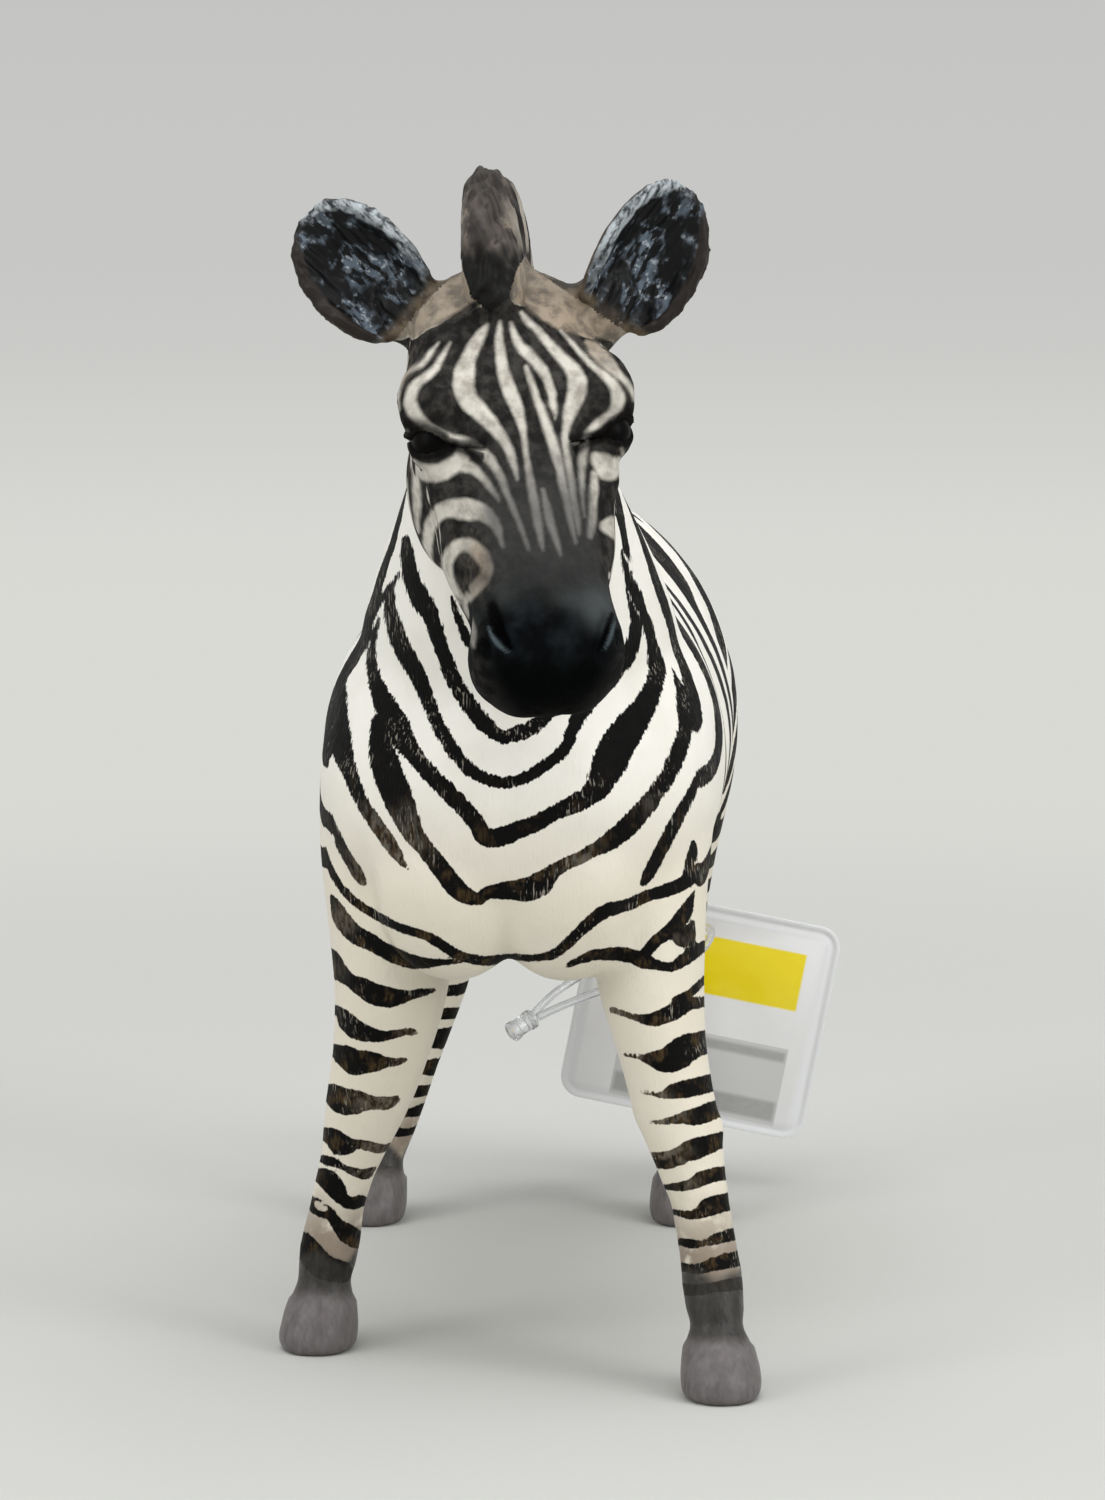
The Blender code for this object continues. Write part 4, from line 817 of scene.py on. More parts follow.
FORELEGS = (
    ((316, 946, 8), (333, 955, 10), (338, 970, 18, .3), (350, 980, 14), (362, 987, 19), (374, 994, 22),
     (387, 997, 21), (400, 997, 15), (412, 995, 10), (424, 992, 8), (434, 990, 4)),
    ((318, 1004, 12), (340, 1012, 10), (346, 1020, 18), (354, 1028, 20), (364, 1033, 17), (378, 1036, 13),
     (392, 1035, 9), (405, 1032, 7, 1), (412, 1032, 8, 1), (417, 1032, 4, 1)),
    ((316, 1044, 14), (338, 1052, 14), (345, 1056, 22), (354, 1062, 26), (364, 1062, 24), (374, 1062, 20),
     (384, 1062, 12), (395, 1062, 8, .6), (405, 1060, 5, .8)),
    ((312, 1086, 14), (326, 1092, 18), (334, 1095, 22), (342, 1101, 26), (352, 1102, 26, .4),
     (364, 1102, 18, .7), (376, 1103, 14, 1), (388, 1103, 13, 1), (397, 1099, 7, 1)),
    ((306, 1128, 10), (322, 1133, 12), (332, 1137, 18), (340, 1144, 22), (348, 1146, 16),
     (358, 1144, 9, .4), (368, 1146, 11, .7), (380, 1149, 9, .7), (390, 1145, 4, .6)),
    ((306, 1156, 8), (322, 1159, 8), (332, 1162, 10), (343, 1167, 6),
     (355, 1172, 9, .5), (366, 1174, 11, .3), (375, 1168, 4, .6)),
    ((300, 1172, 12), (318, 1175, 14), (327, 1179, 20), (335, 1188, 20), (342, 1198, 14), (350, 1203, 13),
     (362, 1201, 12)),
    ((313, 1197, 4), (312, 1208, 6), (320, 1214, 7), (330, 1216, 8), (338, 1225, 14),
     (347, 1233, 20), (358, 1240, 18)),
    ((315, 1198, 3), (326, 1205, 4), (334, 1214, 5)),
    ((286, 1234, 14), (298, 1239, 18), (305, 1245, 22), (314, 1258, 26), (326, 1268, 26), (342, 1272, 22)),
    ((612, 1010, 6, 1), (622, 1013, 6, 1), (634, 1017, 7, .6), (647, 1020, 12), (660, 1018, 15),
     (673, 1012, 17), (685, 1005, 16), (696, 1003, 12), (716, 1000, 10)),
    ((674, 1000, 6), (684, 996, 8), (694, 990, 8), (714, 968, 5)),
    ((625, 1055, 4, 1), (636, 1056, 5, 1), (646, 1058, 10, .4), (657, 1060, 18), (668, 1060, 26),
     (678, 1055, 30), (688, 1048, 28), (722, 1036, 18)),
    ((641, 1091, 3, 1), (654, 1094, 5, 1), (666, 1094, 9, .8), (674, 1091, 16), (686, 1089, 18),
     (724, 1080, 18)),
    ((648, 1123, 3, 1), (662, 1122, 6, 1), (676, 1119, 9, 1), (688, 1117, 14, .4),
     (698, 1116, 18), (730, 1104, 18)),
    ((650, 1154, 4, 1), (664, 1155, 7, 1), (678, 1154, 14, .9), (692, 1150, 22, .2),
     (704, 1146, 20), (738, 1134, 13)),
    ((650, 1162, 8), (662, 1164, 10), (672, 1164, 9, .3), (684, 1160, 8, .8)),
    ((664, 1187, 5), (678, 1187, 9, .3), (692, 1184, 12, .6), (706, 1177, 15), (742, 1170, 14)),
    ((674, 1212, 6), (690, 1215, 9), (702, 1212, 13), (712, 1206, 19), (746, 1198, 16)),
    ((681, 1242, 8), (694, 1244, 9), (706, 1243, 5, 1), (716, 1239, 12), (750, 1230, 12)),
    ((682, 1267, 9), (698, 1269, 10), (714, 1264, 14), (728, 1261, 16), (756, 1254, 16)),
    ((682, 1289, 12), (698, 1290, 11, .5), (716, 1287, 11, .3), (756, 1282, 15)),
)

# %% Light strokes of the face, on the front view
FACE = (
    ((500, 322, 3), (499, 335, 7), (500, 350, 9), (502, 365, 11), (505, 378, 13), (510, 392, 14),
     (516, 405, 13), (520, 418, 10), (523, 430, 7), (525, 445, 4), (527, 460, 5), (529, 475, 7),
     (532, 490, 8), (535, 505, 9), (537, 520, 8), (540, 535, 6), (543, 550, 3)),
    ((487, 325, 3), (482, 333, 9), (475, 345, 12), (468, 360, 15), (464, 376, 21),
     (464, 388, 21), (469, 401, 19), (480, 412, 17), (492, 425, 14), (502, 437, 11),
     (508, 448, 9), (512, 460, 8), (516, 472, 5), (517, 479, 2)),
    ((450, 343, 2), (445, 352, 4), (440, 361, 6), (434, 370, 7), (424, 378, 8), (415, 386, 10),
     (411, 396, 12), (412, 408, 13), (418, 418, 12), (428, 427, 9), (440, 433, 7), (452, 438, 8),
     (464, 441, 9), (476, 447, 9), (487, 456, 9), (495, 467, 8), (502, 480, 7), (507, 494, 6),
     (513, 508, 6), (519, 522, 5), (524, 536, 4), (529, 550, 2)),
    ((462, 446, 8), (460, 455, 12), (462, 464, 14), (472, 468, 10), (482, 477, 8),
     (490, 487, 6), (496, 496, 4), (499, 501, 2)),
    ((414, 462, 4), (419, 470, 14), (430, 473, 18), (441, 472, 18), (452, 466, 17),
     (462, 460, 15)),
    ((407, 432, 5), (405, 450, 6), (403, 470, 5), (404, 490, 3), (407, 505, 3), (410, 520, 3),
     (414, 540, 3), (419, 560, 3), (426, 580, 3), (437, 596, 2)),
    ((415, 466, 3), (416, 480, 7), (417, 500, 8), (417, 515, 6), (418, 532, 3)),
    ((460, 603, 3), (447, 592, 5), (438, 581, 7), (430, 568, 8), (427, 553, 9), (428, 538, 10),
     (431, 525, 12), (438, 514, 15), (448, 509, 17), (460, 509, 20), (472, 510, 21),
     (483, 513, 17), (492, 521, 12), (498, 531, 8), (501, 541, 5), (503, 547, 2)),
    ((463, 600, 4), (454, 588, 8), (448, 576, 10), (447, 564, 11), (452, 552, 13),
     (461, 545, 13), (471, 546, 14, .6), (480, 554, 15, .9), (486, 564, 14, 1), (486, 575, 12, 1),
     (479, 584, 12, .8), (471, 594, 10, .5), (465, 603, 6)),
    ((465, 606, 5), (468, 618, 8), (472, 632, 9), (474, 646, 4)),
    ((511, 323, 3), (514, 334, 6), (519, 344, 9), (528, 354, 10), (538, 364, 10), (546, 376, 9),
     (551, 390, 8), (553, 403, 7), (555, 414, 3), (555, 419, 1)),
    ((521, 313, 3), (528, 322, 6), (539, 332, 7), (550, 345, 9), (562, 358, 11), (573, 371, 15),
     (577, 383, 19), (576, 396, 18), (571, 409, 14), (567, 423, 9), (565, 438, 7), (567, 455, 6),
     (570, 472, 6), (572, 488, 7), (574, 504, 7), (577, 520, 6), (579, 534, 3)),
    ((526, 367, 3), (530, 378, 5), (534, 390, 6), (539, 404, 7), (545, 420, 9), (550, 435, 10),
     (555, 450, 9), (559, 466, 8), (563, 484, 8), (567, 500, 8), (570, 515, 7), (573, 530, 5),
     (576, 543, 2)),
    ((543, 490, 4), (546, 503, 6), (549, 517, 8), (553, 530, 7), (557, 543, 5), (561, 555, 2)),
    ((588, 433, 6), (584, 445, 9), (582, 460, 8), (582, 476, 6), (582, 490, 4), (583, 503, 3),
     (585, 516, 2)),
    ((594, 474, 6), (594, 488, 8), (593, 505, 8), (592, 522, 8), (590, 536, 5)),
    ((596, 457, 10), (603, 463, 20), (608, 468, 24), (615, 466, 18), (620, 460, 6)),
    ((558, 327, 1), (566, 336, 3), (578, 350, 4), (590, 363, 5), (603, 374, 7), (613, 384, 10),
     (618, 395, 13), (617, 406, 12), (611, 415, 9), (600, 422, 8), (591, 430, 7)),
    ((588, 343, 6, .8), (596, 350, 14, .8), (606, 361, 14, .6), (617, 373, 9, .3),
     (626, 382, 6), (632, 392, 4), (634, 400, 3)),
    ((622, 448, 2), (625, 465, 3), (628, 480, 2)),
    ((606, 526, 12), (614, 527, 20), (620, 532, 18), (622, 544, 6)),
    ((616, 566, 3), (615, 575, 5), (613, 583, 3)),
    ((411, 361, 5, .8), (404, 372, 9, .8), (399, 384, 6, .4), (397, 398, 5), (398, 410, 3)),
    ((438, 342, 2), (431, 352, 4), (424, 362, 5), (414, 368, 5, .4), (406, 373, 5, .6)),
    ((532, 306, 10, 1), (548, 314, 16, 1), (568, 320, 24, 1), (590, 324, 24, 1),
     (606, 333, 12, 1)),
)

FACE_DARK = (
    ((499, 284, 24), (502, 298, 20), (505, 308, 12), (506, 318, 5)),
    ((484, 297, 5), (470, 309, 9), (452, 322, 12), (436, 336, 14), (420, 351, 12), (404, 368, 7)),
    ((467, 450, 5), (476, 460, 6), (486, 472, 5), (496, 486, 4), (500, 498, 2)),
    ((589, 460, 2), (589, 480, 2.5), (590, 500, 2)),
    ((464, 556, 6), (461, 570, 13), (464, 582, 11), (469, 592, 3)),
)
MUZZLE = (
    ((540, 588, 80), (545, 610, 118), (550, 640, 140), (548, 668, 116), (546, 690, 80)),
    ((500, 592, 30), (492, 620, 30), (492, 650, 30)),
    ((596, 590, 36), (604, 620, 34), (602, 650, 36)),
)

# %% Strokes of the sides, on the side view: ahead of the middle, height, width
BOTH_SIDES = (
    ((-30, 79, 1.4), (-33, 73.5, 2.0), (-35, 68.5, 1.4)),
    ((-26.8, 76.5, 1.6), (-29.2, 71, 2.4), (-31.6, 66.2, 1.7), (-31.9, 63.4, 0.8)),
    ((1.8, 67.5, 1.2), (1.6, 60.5, 3.0), (2.6, 53, 3.6), (2.4, 45.5, 3.2), (-1, 39.4, 2.4),
     (-6.4, 35.4, 1.6), (-12, 33.6, 1.2)),
    ((22, 66.6, 1.4), (19.8, 63.5, 3.2), (16.2, 60.4, 4.4), (12.2, 57.8, 4.2), (9.6, 54, 3.0),
     (8.6, 49, 2.7), (8.0, 43, 2.1), (6.8, 37, 1.3), (5.6, 33.5, 0.6)),
    ((35, 64.8, 1.6), (30, 61.8, 3.4), (24.5, 58, 3.9), (19.8, 54, 3.5), (16.8, 49, 2.7),
     (15.2, 43, 2.1), (13.8, 37.5, 1.2)),
    ((40, 59.6, 1.8), (34, 57.4, 3.2), (28, 53.6, 3.2), (23.6, 49, 2.7), (21, 44.4, 2.0),
     (19, 40, 1.1)),
    ((41.6, 54.2, 1.6), (36, 52.2, 2.6), (30.6, 49, 2.8), (26.2, 44.8, 2.3), (23.2, 40.6, 1.2)),
    ((40.6, 49.4, 1.4), (34, 47, 2.4), (29, 43.4, 2.2), (25, 39.4, 1.1)),
    ((40, 45.4, 1.3), (34, 42.6, 2.2), (28.8, 39.6, 1.9), (24.6, 36.4, 1.0)),
    ((39.4, 41.2, 1.2), (35, 39.4, 2.0), (30, 36.8, 1.9), (25, 33.6, 1.1)),
    ((31, 67, 1.0), (27, 65.2, 1.9), (24, 62.8, 0.9)),
)
LEFT_SIDE = (
    ((-22.8, 73.6, 1.7), (-25.2, 68.6, 2.6), (-26.6, 64.8, 2.4), (-25.8, 61.8, 2.2),
     (-24.4, 59.4, 1.8), (-23, 57, 1.4)),
    ((-18.8, 71.4, 1.6), (-20.6, 66.4, 2.8), (-20.2, 61.5, 2.8), (-18.4, 57.6, 2.6),
     (-18, 54.5, 2.4), (-19.8, 51.8, 2.6), (-22.0, 50.6, 3.0)),
    ((-13.2, 68.4, 1.6), (-13.8, 62, 3.2), (-12.2, 56, 3.6), (-12, 51.5, 3.8), (-13.6, 48.8, 3.2),
     (-16.6, 47.2, 2.2), (-20.4, 46.3, 1.6), (-23.4, 45.8, 1.4)),
    ((-5.6, 67.6, 1.4), (-6, 61, 3.2), (-4.8, 54, 3.8), (-4.8, 47.5, 3.6), (-8.4, 42.4, 2.8),
     (-14.6, 39.6, 2.2), (-20.4, 39, 1.8), (-23.6, 38.8, 1.6)),
)
RIGHT_SIDE = (
    ((-22.8, 73.6, 1.7), (-25.2, 68.6, 2.6), (-25.2, 64, 2.6), (-22.8, 60.8, 3.8),
     (-20.6, 58, 3.4), (-17.4, 55, 4.6), (-16.4, 52.6, 5.4), (-17.6, 50.6, 6.2),
     (-20.6, 49.4, 5.4), (-22.6, 48.6, 4.2)),
    ((-18.2, 71.2, 1.6), (-19, 66.6, 2.6), (-16.8, 62, 2.8), (-13.2, 58.4, 2.6), (-9.6, 54, 3.0),
     (-9.6, 48.6, 3.2), (-13.6, 45, 2.6), (-19, 43, 1.9), (-24.2, 42.2, 1.5)),
    ((-11.8, 68.2, 1.6), (-9.4, 63.4, 2.6), (-5.6, 58.6, 2.8), (-3.4, 53, 3.3), (-3.6, 47.5, 3.3),
     (-7.4, 42.2, 2.7), (-13.8, 39.4, 2.1), (-20.4, 39.3, 1.6), (-22.4, 39.8, 1.4)),
    ((-4.6, 67.6, 1.2), (-3.2, 64.4, 1.9), (-1.4, 61.4, 0.8)),
)
HIND_RINGS = (36.6, 33.2, 30.2, 27.4, 24.9, 22.6, 20.4, 18.0, 15.7, 13.4, 11.3, 9.4, 7.7)
print(len(BREAST + FORELEGS + FACE + BOTH_SIDES + LEFT_SIDE + RIGHT_SIDE), "strokes")

# %% [markdown]
# ## From strokes to paint
#
# For every point of the skin the distance to the nearest stroke's edge is stored, negative
# inside dark paint. The shader later cuts this distance at zero, which gives a crisp edge that
# it can still roughen a little, as a brush does.

# %% Distance to the nearest stroke


def flowing(stroke, steps=4):
    """A smooth row of points through a stroke's own points."""
    row = np.array([tuple(point) + (0.0,) * (4 - len(point)) for point in stroke])
    padded = np.vstack([row[:1], row, row[-1:]])
    fine = []
    for a, b, c, d in zip(padded, padded[1:], padded[2:], padded[3:]):
        for t in np.arange(steps) / steps:
            fine.append(0.5 * (2 * b + (c - a) * t + (2 * a - 5 * b + 4 * c - d) * t**2
                               + (3 * b - a - 3 * c + d) * t**3))
    fine.append(row[-1])
    return np.array(fine)


def stroke_distance(chart, strokes, far):
    """Distance to the nearest stroke's edge, and how brown that stroke is there."""
    best, brown = np.full(len(chart), float(far)), np.zeros(len(chart))
    for stroke in strokes:
        fine = flowing(stroke)
        reach = far + fine[:, 2].max() / 2
        low, high = fine[:, :2].min(0) - reach, fine[:, :2].max(0) + reach
        near = np.flatnonzero(((chart > low) & (chart < high)).all(1))
        for index, share, away in along_runs(chart[near], fine[:, :2]):
            _, _, wide, tint = (fine[index] + np.outer(share, fine[index + 1] - fine[index])).T
            gap = away - wide / 2
            closer = gap < best[near]
            best[near[closer]] = gap[closer]
            brown[near[closer]] = tint[closer]
    return best, brown


places, normals = points_of(skin), normals_of(skin)
chart, px, sight = to_view(places)
towards = -(normals * sight).sum(1)
x, y, z = places.T
on_left = x > 0
print("points that face the camera", round(float((towards > 0).mean()), 2))

# %% Strokes seen from the front and from the sides
FRONT_FAR, SIDE_FAR, BRUSH_SHAKE = 14, 2.0, 0.25
LEFT_BEGINS, RIGHT_BEGINS = 0.38, 0.25  # a side begins where the skin faces the camera less
BACK_HIGH, BACK_MIDDLE, BACK_HALF, SPINE_HALF = 62, 14.5, 27, 0.55
BELLY_TOP, BELLY_FULL, BELLY_WIDE, BELLY_FADE = 36.5, 32.5, 12, 3
FORELEG_TOP, FORELEG_INNER = 33.5, 9
CREASE_TOP, CREASE_AHEAD, CREASE_OUTER = 46, -20, 12.8

front_far, front_brown = stroke_distance(chart, BREAST + FORELEGS, FRONT_FAR)
shaken = places[:, 1:] + BRUSH_SHAKE * np.stack([faded(places, 3, 9), faded(places, 4, 9)], 1)
side_far = np.where(on_left, stroke_distance(shaken, BOTH_SIDES + LEFT_SIDE, SIDE_FAR)[0],
                    stroke_distance(shaken, BOTH_SIDES + RIGHT_SIDE, SIDE_FAR)[0])
spine = np.abs(x) - SPINE_HALF - 0.15 * faded(places, 5, 6)
on_back = (z > BACK_HIGH) & (normals[:, 2] > 0.6) & (np.abs(y - BACK_MIDDLE) < BACK_HALF)
side_far = np.where(on_back, np.minimum(side_far, spine), side_far)
bare_belly = step_up(z, BELLY_TOP, BELLY_FULL)
bare_belly *= step_up(np.abs(x), BELLY_WIDE, BELLY_WIDE - BELLY_FADE)
side_far = side_far + 1.6 * bare_belly

turned = towards - np.where(on_left, LEFT_BEGINS, RIGHT_BEGINS) + 0.03 * faded(places, 2, 3)
front = step_up(turned, -0.03, 0.03) * step_up(y, -7, -10)
is_leg = (z < FORELEG_TOP) & (y < 0) & (np.abs(x) > FORELEG_INNER)
is_leg |= (z < CREASE_TOP) & (y < CREASE_AHEAD) & (np.abs(x) < CREASE_OUTER)
front = np.where(is_leg, 1, front)
body_ink = front * front_far / px + (1 - front) * side_far
body_brown = front * front_brown
print("share of the skin that has the front's strokes", round(float(front.mean()), 2))

# %% Rings round the hind legs
HIND_TOP, HOCK_HIGH, HOCK_BEHIND = 38, 23, 31

rings = np.full(len(places), SIDE_FAR)
wobble = 0.5 * faded(places, 8, 7)
for index, height in enumerate(HIND_RINGS):
    half_wide = 0.85 - 0.012 * (36 - height) + 0.22 * faded(places, 20 + index, 8)
    tilt = 0.22 * (y - HOCK_BEHIND) * (1 if height > HOCK_HIGH else -0.3)
    rings = np.minimum(rings, np.abs(z - height - wobble * 0.5 - tilt) - half_wide)
hind = step_up(z, HIND_TOP, HIND_TOP - 3) * (y > 12)
body_ink = hind * rings + (1 - hind) * body_ink
print("paint on the body:", round(float((body_ink < 0).mean()), 2))

# %% Distance on the face
# Painted shade in the nostril slits, on the front view
NOSTRIL_SLITS = (
    ((491, 604, 7), (494, 614, 13), (498, 626, 12), (504, 637, 9), (511, 648, 4)),
    ((612, 614, 4), (608, 628, 6), (604, 640, 6), (602, 647, 3)),
)
# Painted highlights along the nostrils' rims, on the front view
NOSTRIL_RIM_HIGHLIGHTS = (
    ((488, 627, 1), (492, 636, 3), (499, 645, 4), (508, 652, 2)),
    ((615, 622, 1), (612, 632, 3), (608, 643, 3), (604, 650, 1)),
)
# Painted highlights on the muzzle, on the front view
SNOUT_HIGHLIGHTS = ((500, 596, 20, 16, 0.45), (600, 603, 22, 26, 0.9), (565, 598, 18, 12, 0.4),
                (545, 574, 50, 16, 0.25))  # across, down, reach both ways, amount
CHEEK_RINGS, RING_STEP, RING_HALF = (463, 566), 2.6, 0.62
CROWN_DOWN, CROWN_ACROSS, CROWN_SLOPE = 300, 505, 0.40

sideways, along, out = to_head(places).T
middle = spot(surface(skin), *CHEEK_RINGS)
swirl = np.hypot(along - middle[1], 1.1 * (out - middle[2]))
swirl = np.abs(((swirl + 0.25 * faded(places, 9, 6)) % RING_STEP) - RING_STEP / 2) - RING_HALF
swirl = np.where(along > 22, 1.0, swirl)
face_front = step_up(towards + 0.02 * faded(places, 14, 2), 0.11, 0.18)
crown_line = CROWN_DOWN + CROWN_SLOPE * np.abs(chart[:, 0] - CROWN_ACROSS)
crown_line -= 5 * faded(places, 12, 2.5)
crown = step_up(chart[:, 1], crown_line + 3, crown_line - 3)
on_top = step_up(along, 3.4, 2.2) * step_up(out, -0.5, 1.0)
crown = np.maximum(crown * (face_front > 0.3), (1 - face_front) * np.maximum(
    on_top, step_up(along, 0.5, -1.5)))
crown_far = (crown - 0.5) * 3
face_far, face_brown = stroke_distance(chart, FACE, FRONT_FAR)
light = np.minimum(face_far, np.where(crown > 0.02, -crown_far * px, 99))
light = np.maximum(light, -stroke_distance(chart, FACE_DARK, FRONT_FAR)[0])
face_ink = -(face_front * light / px + (1 - face_front) * np.where(crown > 0.5, -crown_far, swirl))
print("paint on the face:", round(float((face_ink[ahead_of_seam(places) > -0.5] < 0).mean()), 2))

# %% Values for the paint
MUZZLE_BEGINS, MUZZLE_FULL, LIPS_BEGIN, LIPS_FULL = 545, 622, 635, 685  # down the front view

is_face = step_up(ahead_of_seam(places), -0.6, 0.9)
snout_far, _ = stroke_distance(chart, MUZZLE, 40)
snout = face_front * step_up(snout_far, 30, -18) * step_up(chart[:, 1], MUZZLE_BEGINS, MUZZLE_FULL)
snout += (1 - face_front) * step_up(along, 20.5, 24.5)
nose_haze = step_up(along, 10.5, 18.0) * step_up(np.abs(sideways - 0.2), 4.9, 3.3)
# Muzzle tone: painted highlights over the nose, and darker towards the lips
tone = -0.9 * step_up(chart[:, 1], LIPS_BEGIN, LIPS_FULL)
for across, down, wide, high, amount in SNOUT_HIGHLIGHTS:
    tone += amount * np.exp(-((chart[:, 0] - across) / wide) ** 2 - ((chart[:, 1] - down) / high) ** 2)
# Painted shade in the nostril slits and painted highlights along their rims
slit, rim = (step_up(stroke_distance(chart, strokes, 10)[0], 1.4, -1.0) * face_front * is_face
             for strokes in (NOSTRIL_SLITS, NOSTRIL_RIM_HIGHLIGHTS))
brown = is_face * np.maximum(face_front * face_brown, 0.9 * crown) + (1 - is_face) * body_brown
# The lower body's mask gives the paint its darker, warmer cream, partly painted shade, and its worn
# stripes
put_values(
    skin, snout_tone=tone * face_front, nostril=slit, nostril_rim=rim, brown=np.clip(brown, 0, 1),
    ink=is_face * face_ink + (1 - is_face) * body_ink, muzzle=snout * is_face,
    face=step_up(ahead_of_seam(places), -0.5, 2.5), ridge_fade=nose_haze * face_front * is_face,
    warm=step_up(z, 50, 36))
print("values stored", len(skin.data.attributes))

# %% [markdown]
# ## Paint for the skin
#
# One layered paint serves the whole skin. Under it lies cream, warmer and darker towards the belly,
# partly as painted shade. Then come the dark strokes with their engraved hair, which shows as fine
# pale flecks where a dry brush has gone over it, then the beige dust, the muzzle's blue-black with
# its painted highlights and shade, and the grey hooves.
# A paint is a network of nodes. Two small classes let it be written as sums and mixtures.

# %% Tones


class Tone:
    """The output of a node, to calculate with like a number and to mix colours by."""

    def __init__(self, paint, socket):
        self.paint, self.socket = paint, socket

    def maths(self, operation, first, second):
        return self.paint.node("ShaderNodeMath", {0: first, 1: second}, operation=operation)

    def __add__(self, other):
        return self.maths("ADD", self, other)

    def __sub__(self, other):
        return self.maths("SUBTRACT", self, other)

    def __rsub__(self, other):
        return self.maths("SUBTRACT", other, self)

    def __mul__(self, other):
        return self.maths("MULTIPLY", self, other)

    def __rtruediv__(self, other):
        return self.maths("DIVIDE", other, self)

    def at_least(self, other):
        return self.maths("MAXIMUM", self, other)

    def band(self, low, high, bottom=0.0, top=1.0):
        """A smooth step from bottom at low to top at high."""
        inputs = {0: self, 1: low, 2: high, 3: bottom, 4: top}
        return self.paint.node("ShaderNodeMapRange", inputs, interpolation_type="SMOOTHSTEP")

    def mix(self, first, second):
        """The first colour where this tone is 0, the second where it is 1."""
        first, second = (colour if isinstance(colour, Tone) else (*colour, 1.0)
                         for colour in (first, second))
        return self.paint.node("ShaderNodeMix", {0: self, 6: first, 7: second}, 2, data_type="RGBA")


# %% Paints


class Paint:
    """The nodes of a material or of the world, with short words for the common ones."""

    def __init__(self, owner, shader="Principled BSDF"):
        owner.use_nodes = True
        self.owner, self.tree = owner, owner.node_tree
        self.shader = self.tree.nodes[shader]

    def feed(self, node, inputs):
        """Set a node's inputs: each is a value, a colour or a tone."""
        for key, value in inputs.items():
            if isinstance(value, Tone):
                self.tree.links.new(value.socket, node.inputs[key])
            else:
                node.inputs[key].default_value = value

    def node(self, kind, inputs, output=0, **settings):
        """One output of a new node, as a tone."""
        node = self.tree.nodes.new(kind)
        for key, value in settings.items():
            setattr(node, key, value)
        self.feed(node, inputs)
        return Tone(self, node.outputs[output])

    def number(self, name):
        """A number that is stored on the mesh's points."""
        return self.node("ShaderNodeAttribute", {}, "Fac", attribute_name=name)

    def clouds(self, where, size, detail, rough):
        inputs = {"Vector": where, "Scale": 1 / size, "Detail": detail, "Roughness": rough}
        return self.node("ShaderNodeTexNoise", inputs, "Fac")

    def noise(self, size, detail=3.0, stretch=(1, 1, 1), rough=0.55):
        """Clouds of a size in millimetres on the object's own axes."""
        where = self.node("ShaderNodeTexCoord", {}, "Object")
        scale = tuple(way / MM for way in stretch)
        where = self.node("ShaderNodeVectorMath", {0: where, 1: scale}, operation="MULTIPLY")
        return self.clouds(where, size, detail, rough)

    def combed(self, size, detail, across=1.0, along=0.35):
        """Clouds on a part's own stored chart, drawn out along its hair."""
        where = self.node("ShaderNodeCombineXYZ", {
            0: self.number("across") * across,
            1: self.number("along") * along,
            2: self.number("hair") * 0.2})
        return self.clouds(where, size, detail, 0.6)

    def bump(self, height, distance, strength, over=None):
        """Relief of a depth in millimetres, over another one if there is one."""
        inputs = {"Height": height, "Distance": distance * MM, "Strength": strength}
        if over is not None:
            inputs["Normal"] = over
        return self.node("ShaderNodeBump", inputs)

    def finish(self, colour, rough, relief, gloss=0.5, **more):
        """Feed the shader, and give back the finished material."""
        self.feed(self.shader, {"Base Color": colour, "Roughness": rough, "Normal": relief,
                                "Specular IOR Level": gloss})
        self.feed(self.shader, {name.replace("_", " "): value for name, value in more.items()})
        return self.owner


def new_paint(name):
    return Paint(bpy.data.materials.new(name))


# %% Paint of the skin


def light_colours(paint, face, brown, hair, warm):
    """Cream on the body, darker and warmer low down, partly as painted shade, and off-white with fawn and
    haze on the face.
    """
    noise, haze = paint.noise, paint.number("ridge_fade")
    # cream darker and warmer towards the belly: partly the paint's tint, partly painted shade
    cream = warm.mix((0.86, 0.84, 0.775), (0.735, 0.680, 0.560))
    cream = (noise(6, 3).band(0.45, 0.7) * 0.35).mix(cream, (0.74, 0.70, 0.61))
    cream = hair.band(0.34, 0.22, 0.0, 0.45).mix(cream, (0.60, 0.545, 0.44))
    beige = paint.number("dust") * noise(1.6, 4).band(0.22, 0.50)
    cream = (beige * 0.9).mix(cream, (0.21, 0.160, 0.118))
    pale = noise(1.1, 5).band(0.35, 0.72).mix((0.60, 0.572, 0.505), (0.33, 0.305, 0.262))
    fawn = noise(1.3, 5).band(0.38, 0.64).mix((0.29, 0.228, 0.162), (0.088, 0.066, 0.046))
    pale = (brown * 0.9).mix(pale, fawn)
    return face.mix(cream, (haze * 0.92).mix(pale, (0.105, 0.103, 0.099)))


def dark_colours(paint, face, brown, hair, warm):
    """Black with pale flecks, worn to umber, on the body, and charcoal on the face."""
    noise, haze = paint.noise, paint.number("ridge_fade")
    flecks = noise(3.4, 3).band(0.50, 0.62) * noise(0.30, 2, (1.8, 1.8, 0.24)).band(0.58, 0.64)
    black = (flecks * 0.75).mix((0.0034, 0.0032, 0.003), (0.33, 0.30, 0.25))
    umber = hair.band(0.35, 0.65).mix((0.010, 0.0068, 0.0038), (0.078, 0.049, 0.021))
    worn = warm * noise(1.5, 4).band(0.50, 0.64, 0.0, 0.75) * (1.0 - face)
    black = worn.at_least(brown * 0.85).mix(black, umber)
    charcoal = noise(1.0, 5).band(0.35, 0.75).mix((0.0125, 0.0120, 0.0115), (0.054, 0.050, 0.045))
    return face.mix(black, (haze * 0.7).mix(charcoal, (0.040, 0.040, 0.039)))


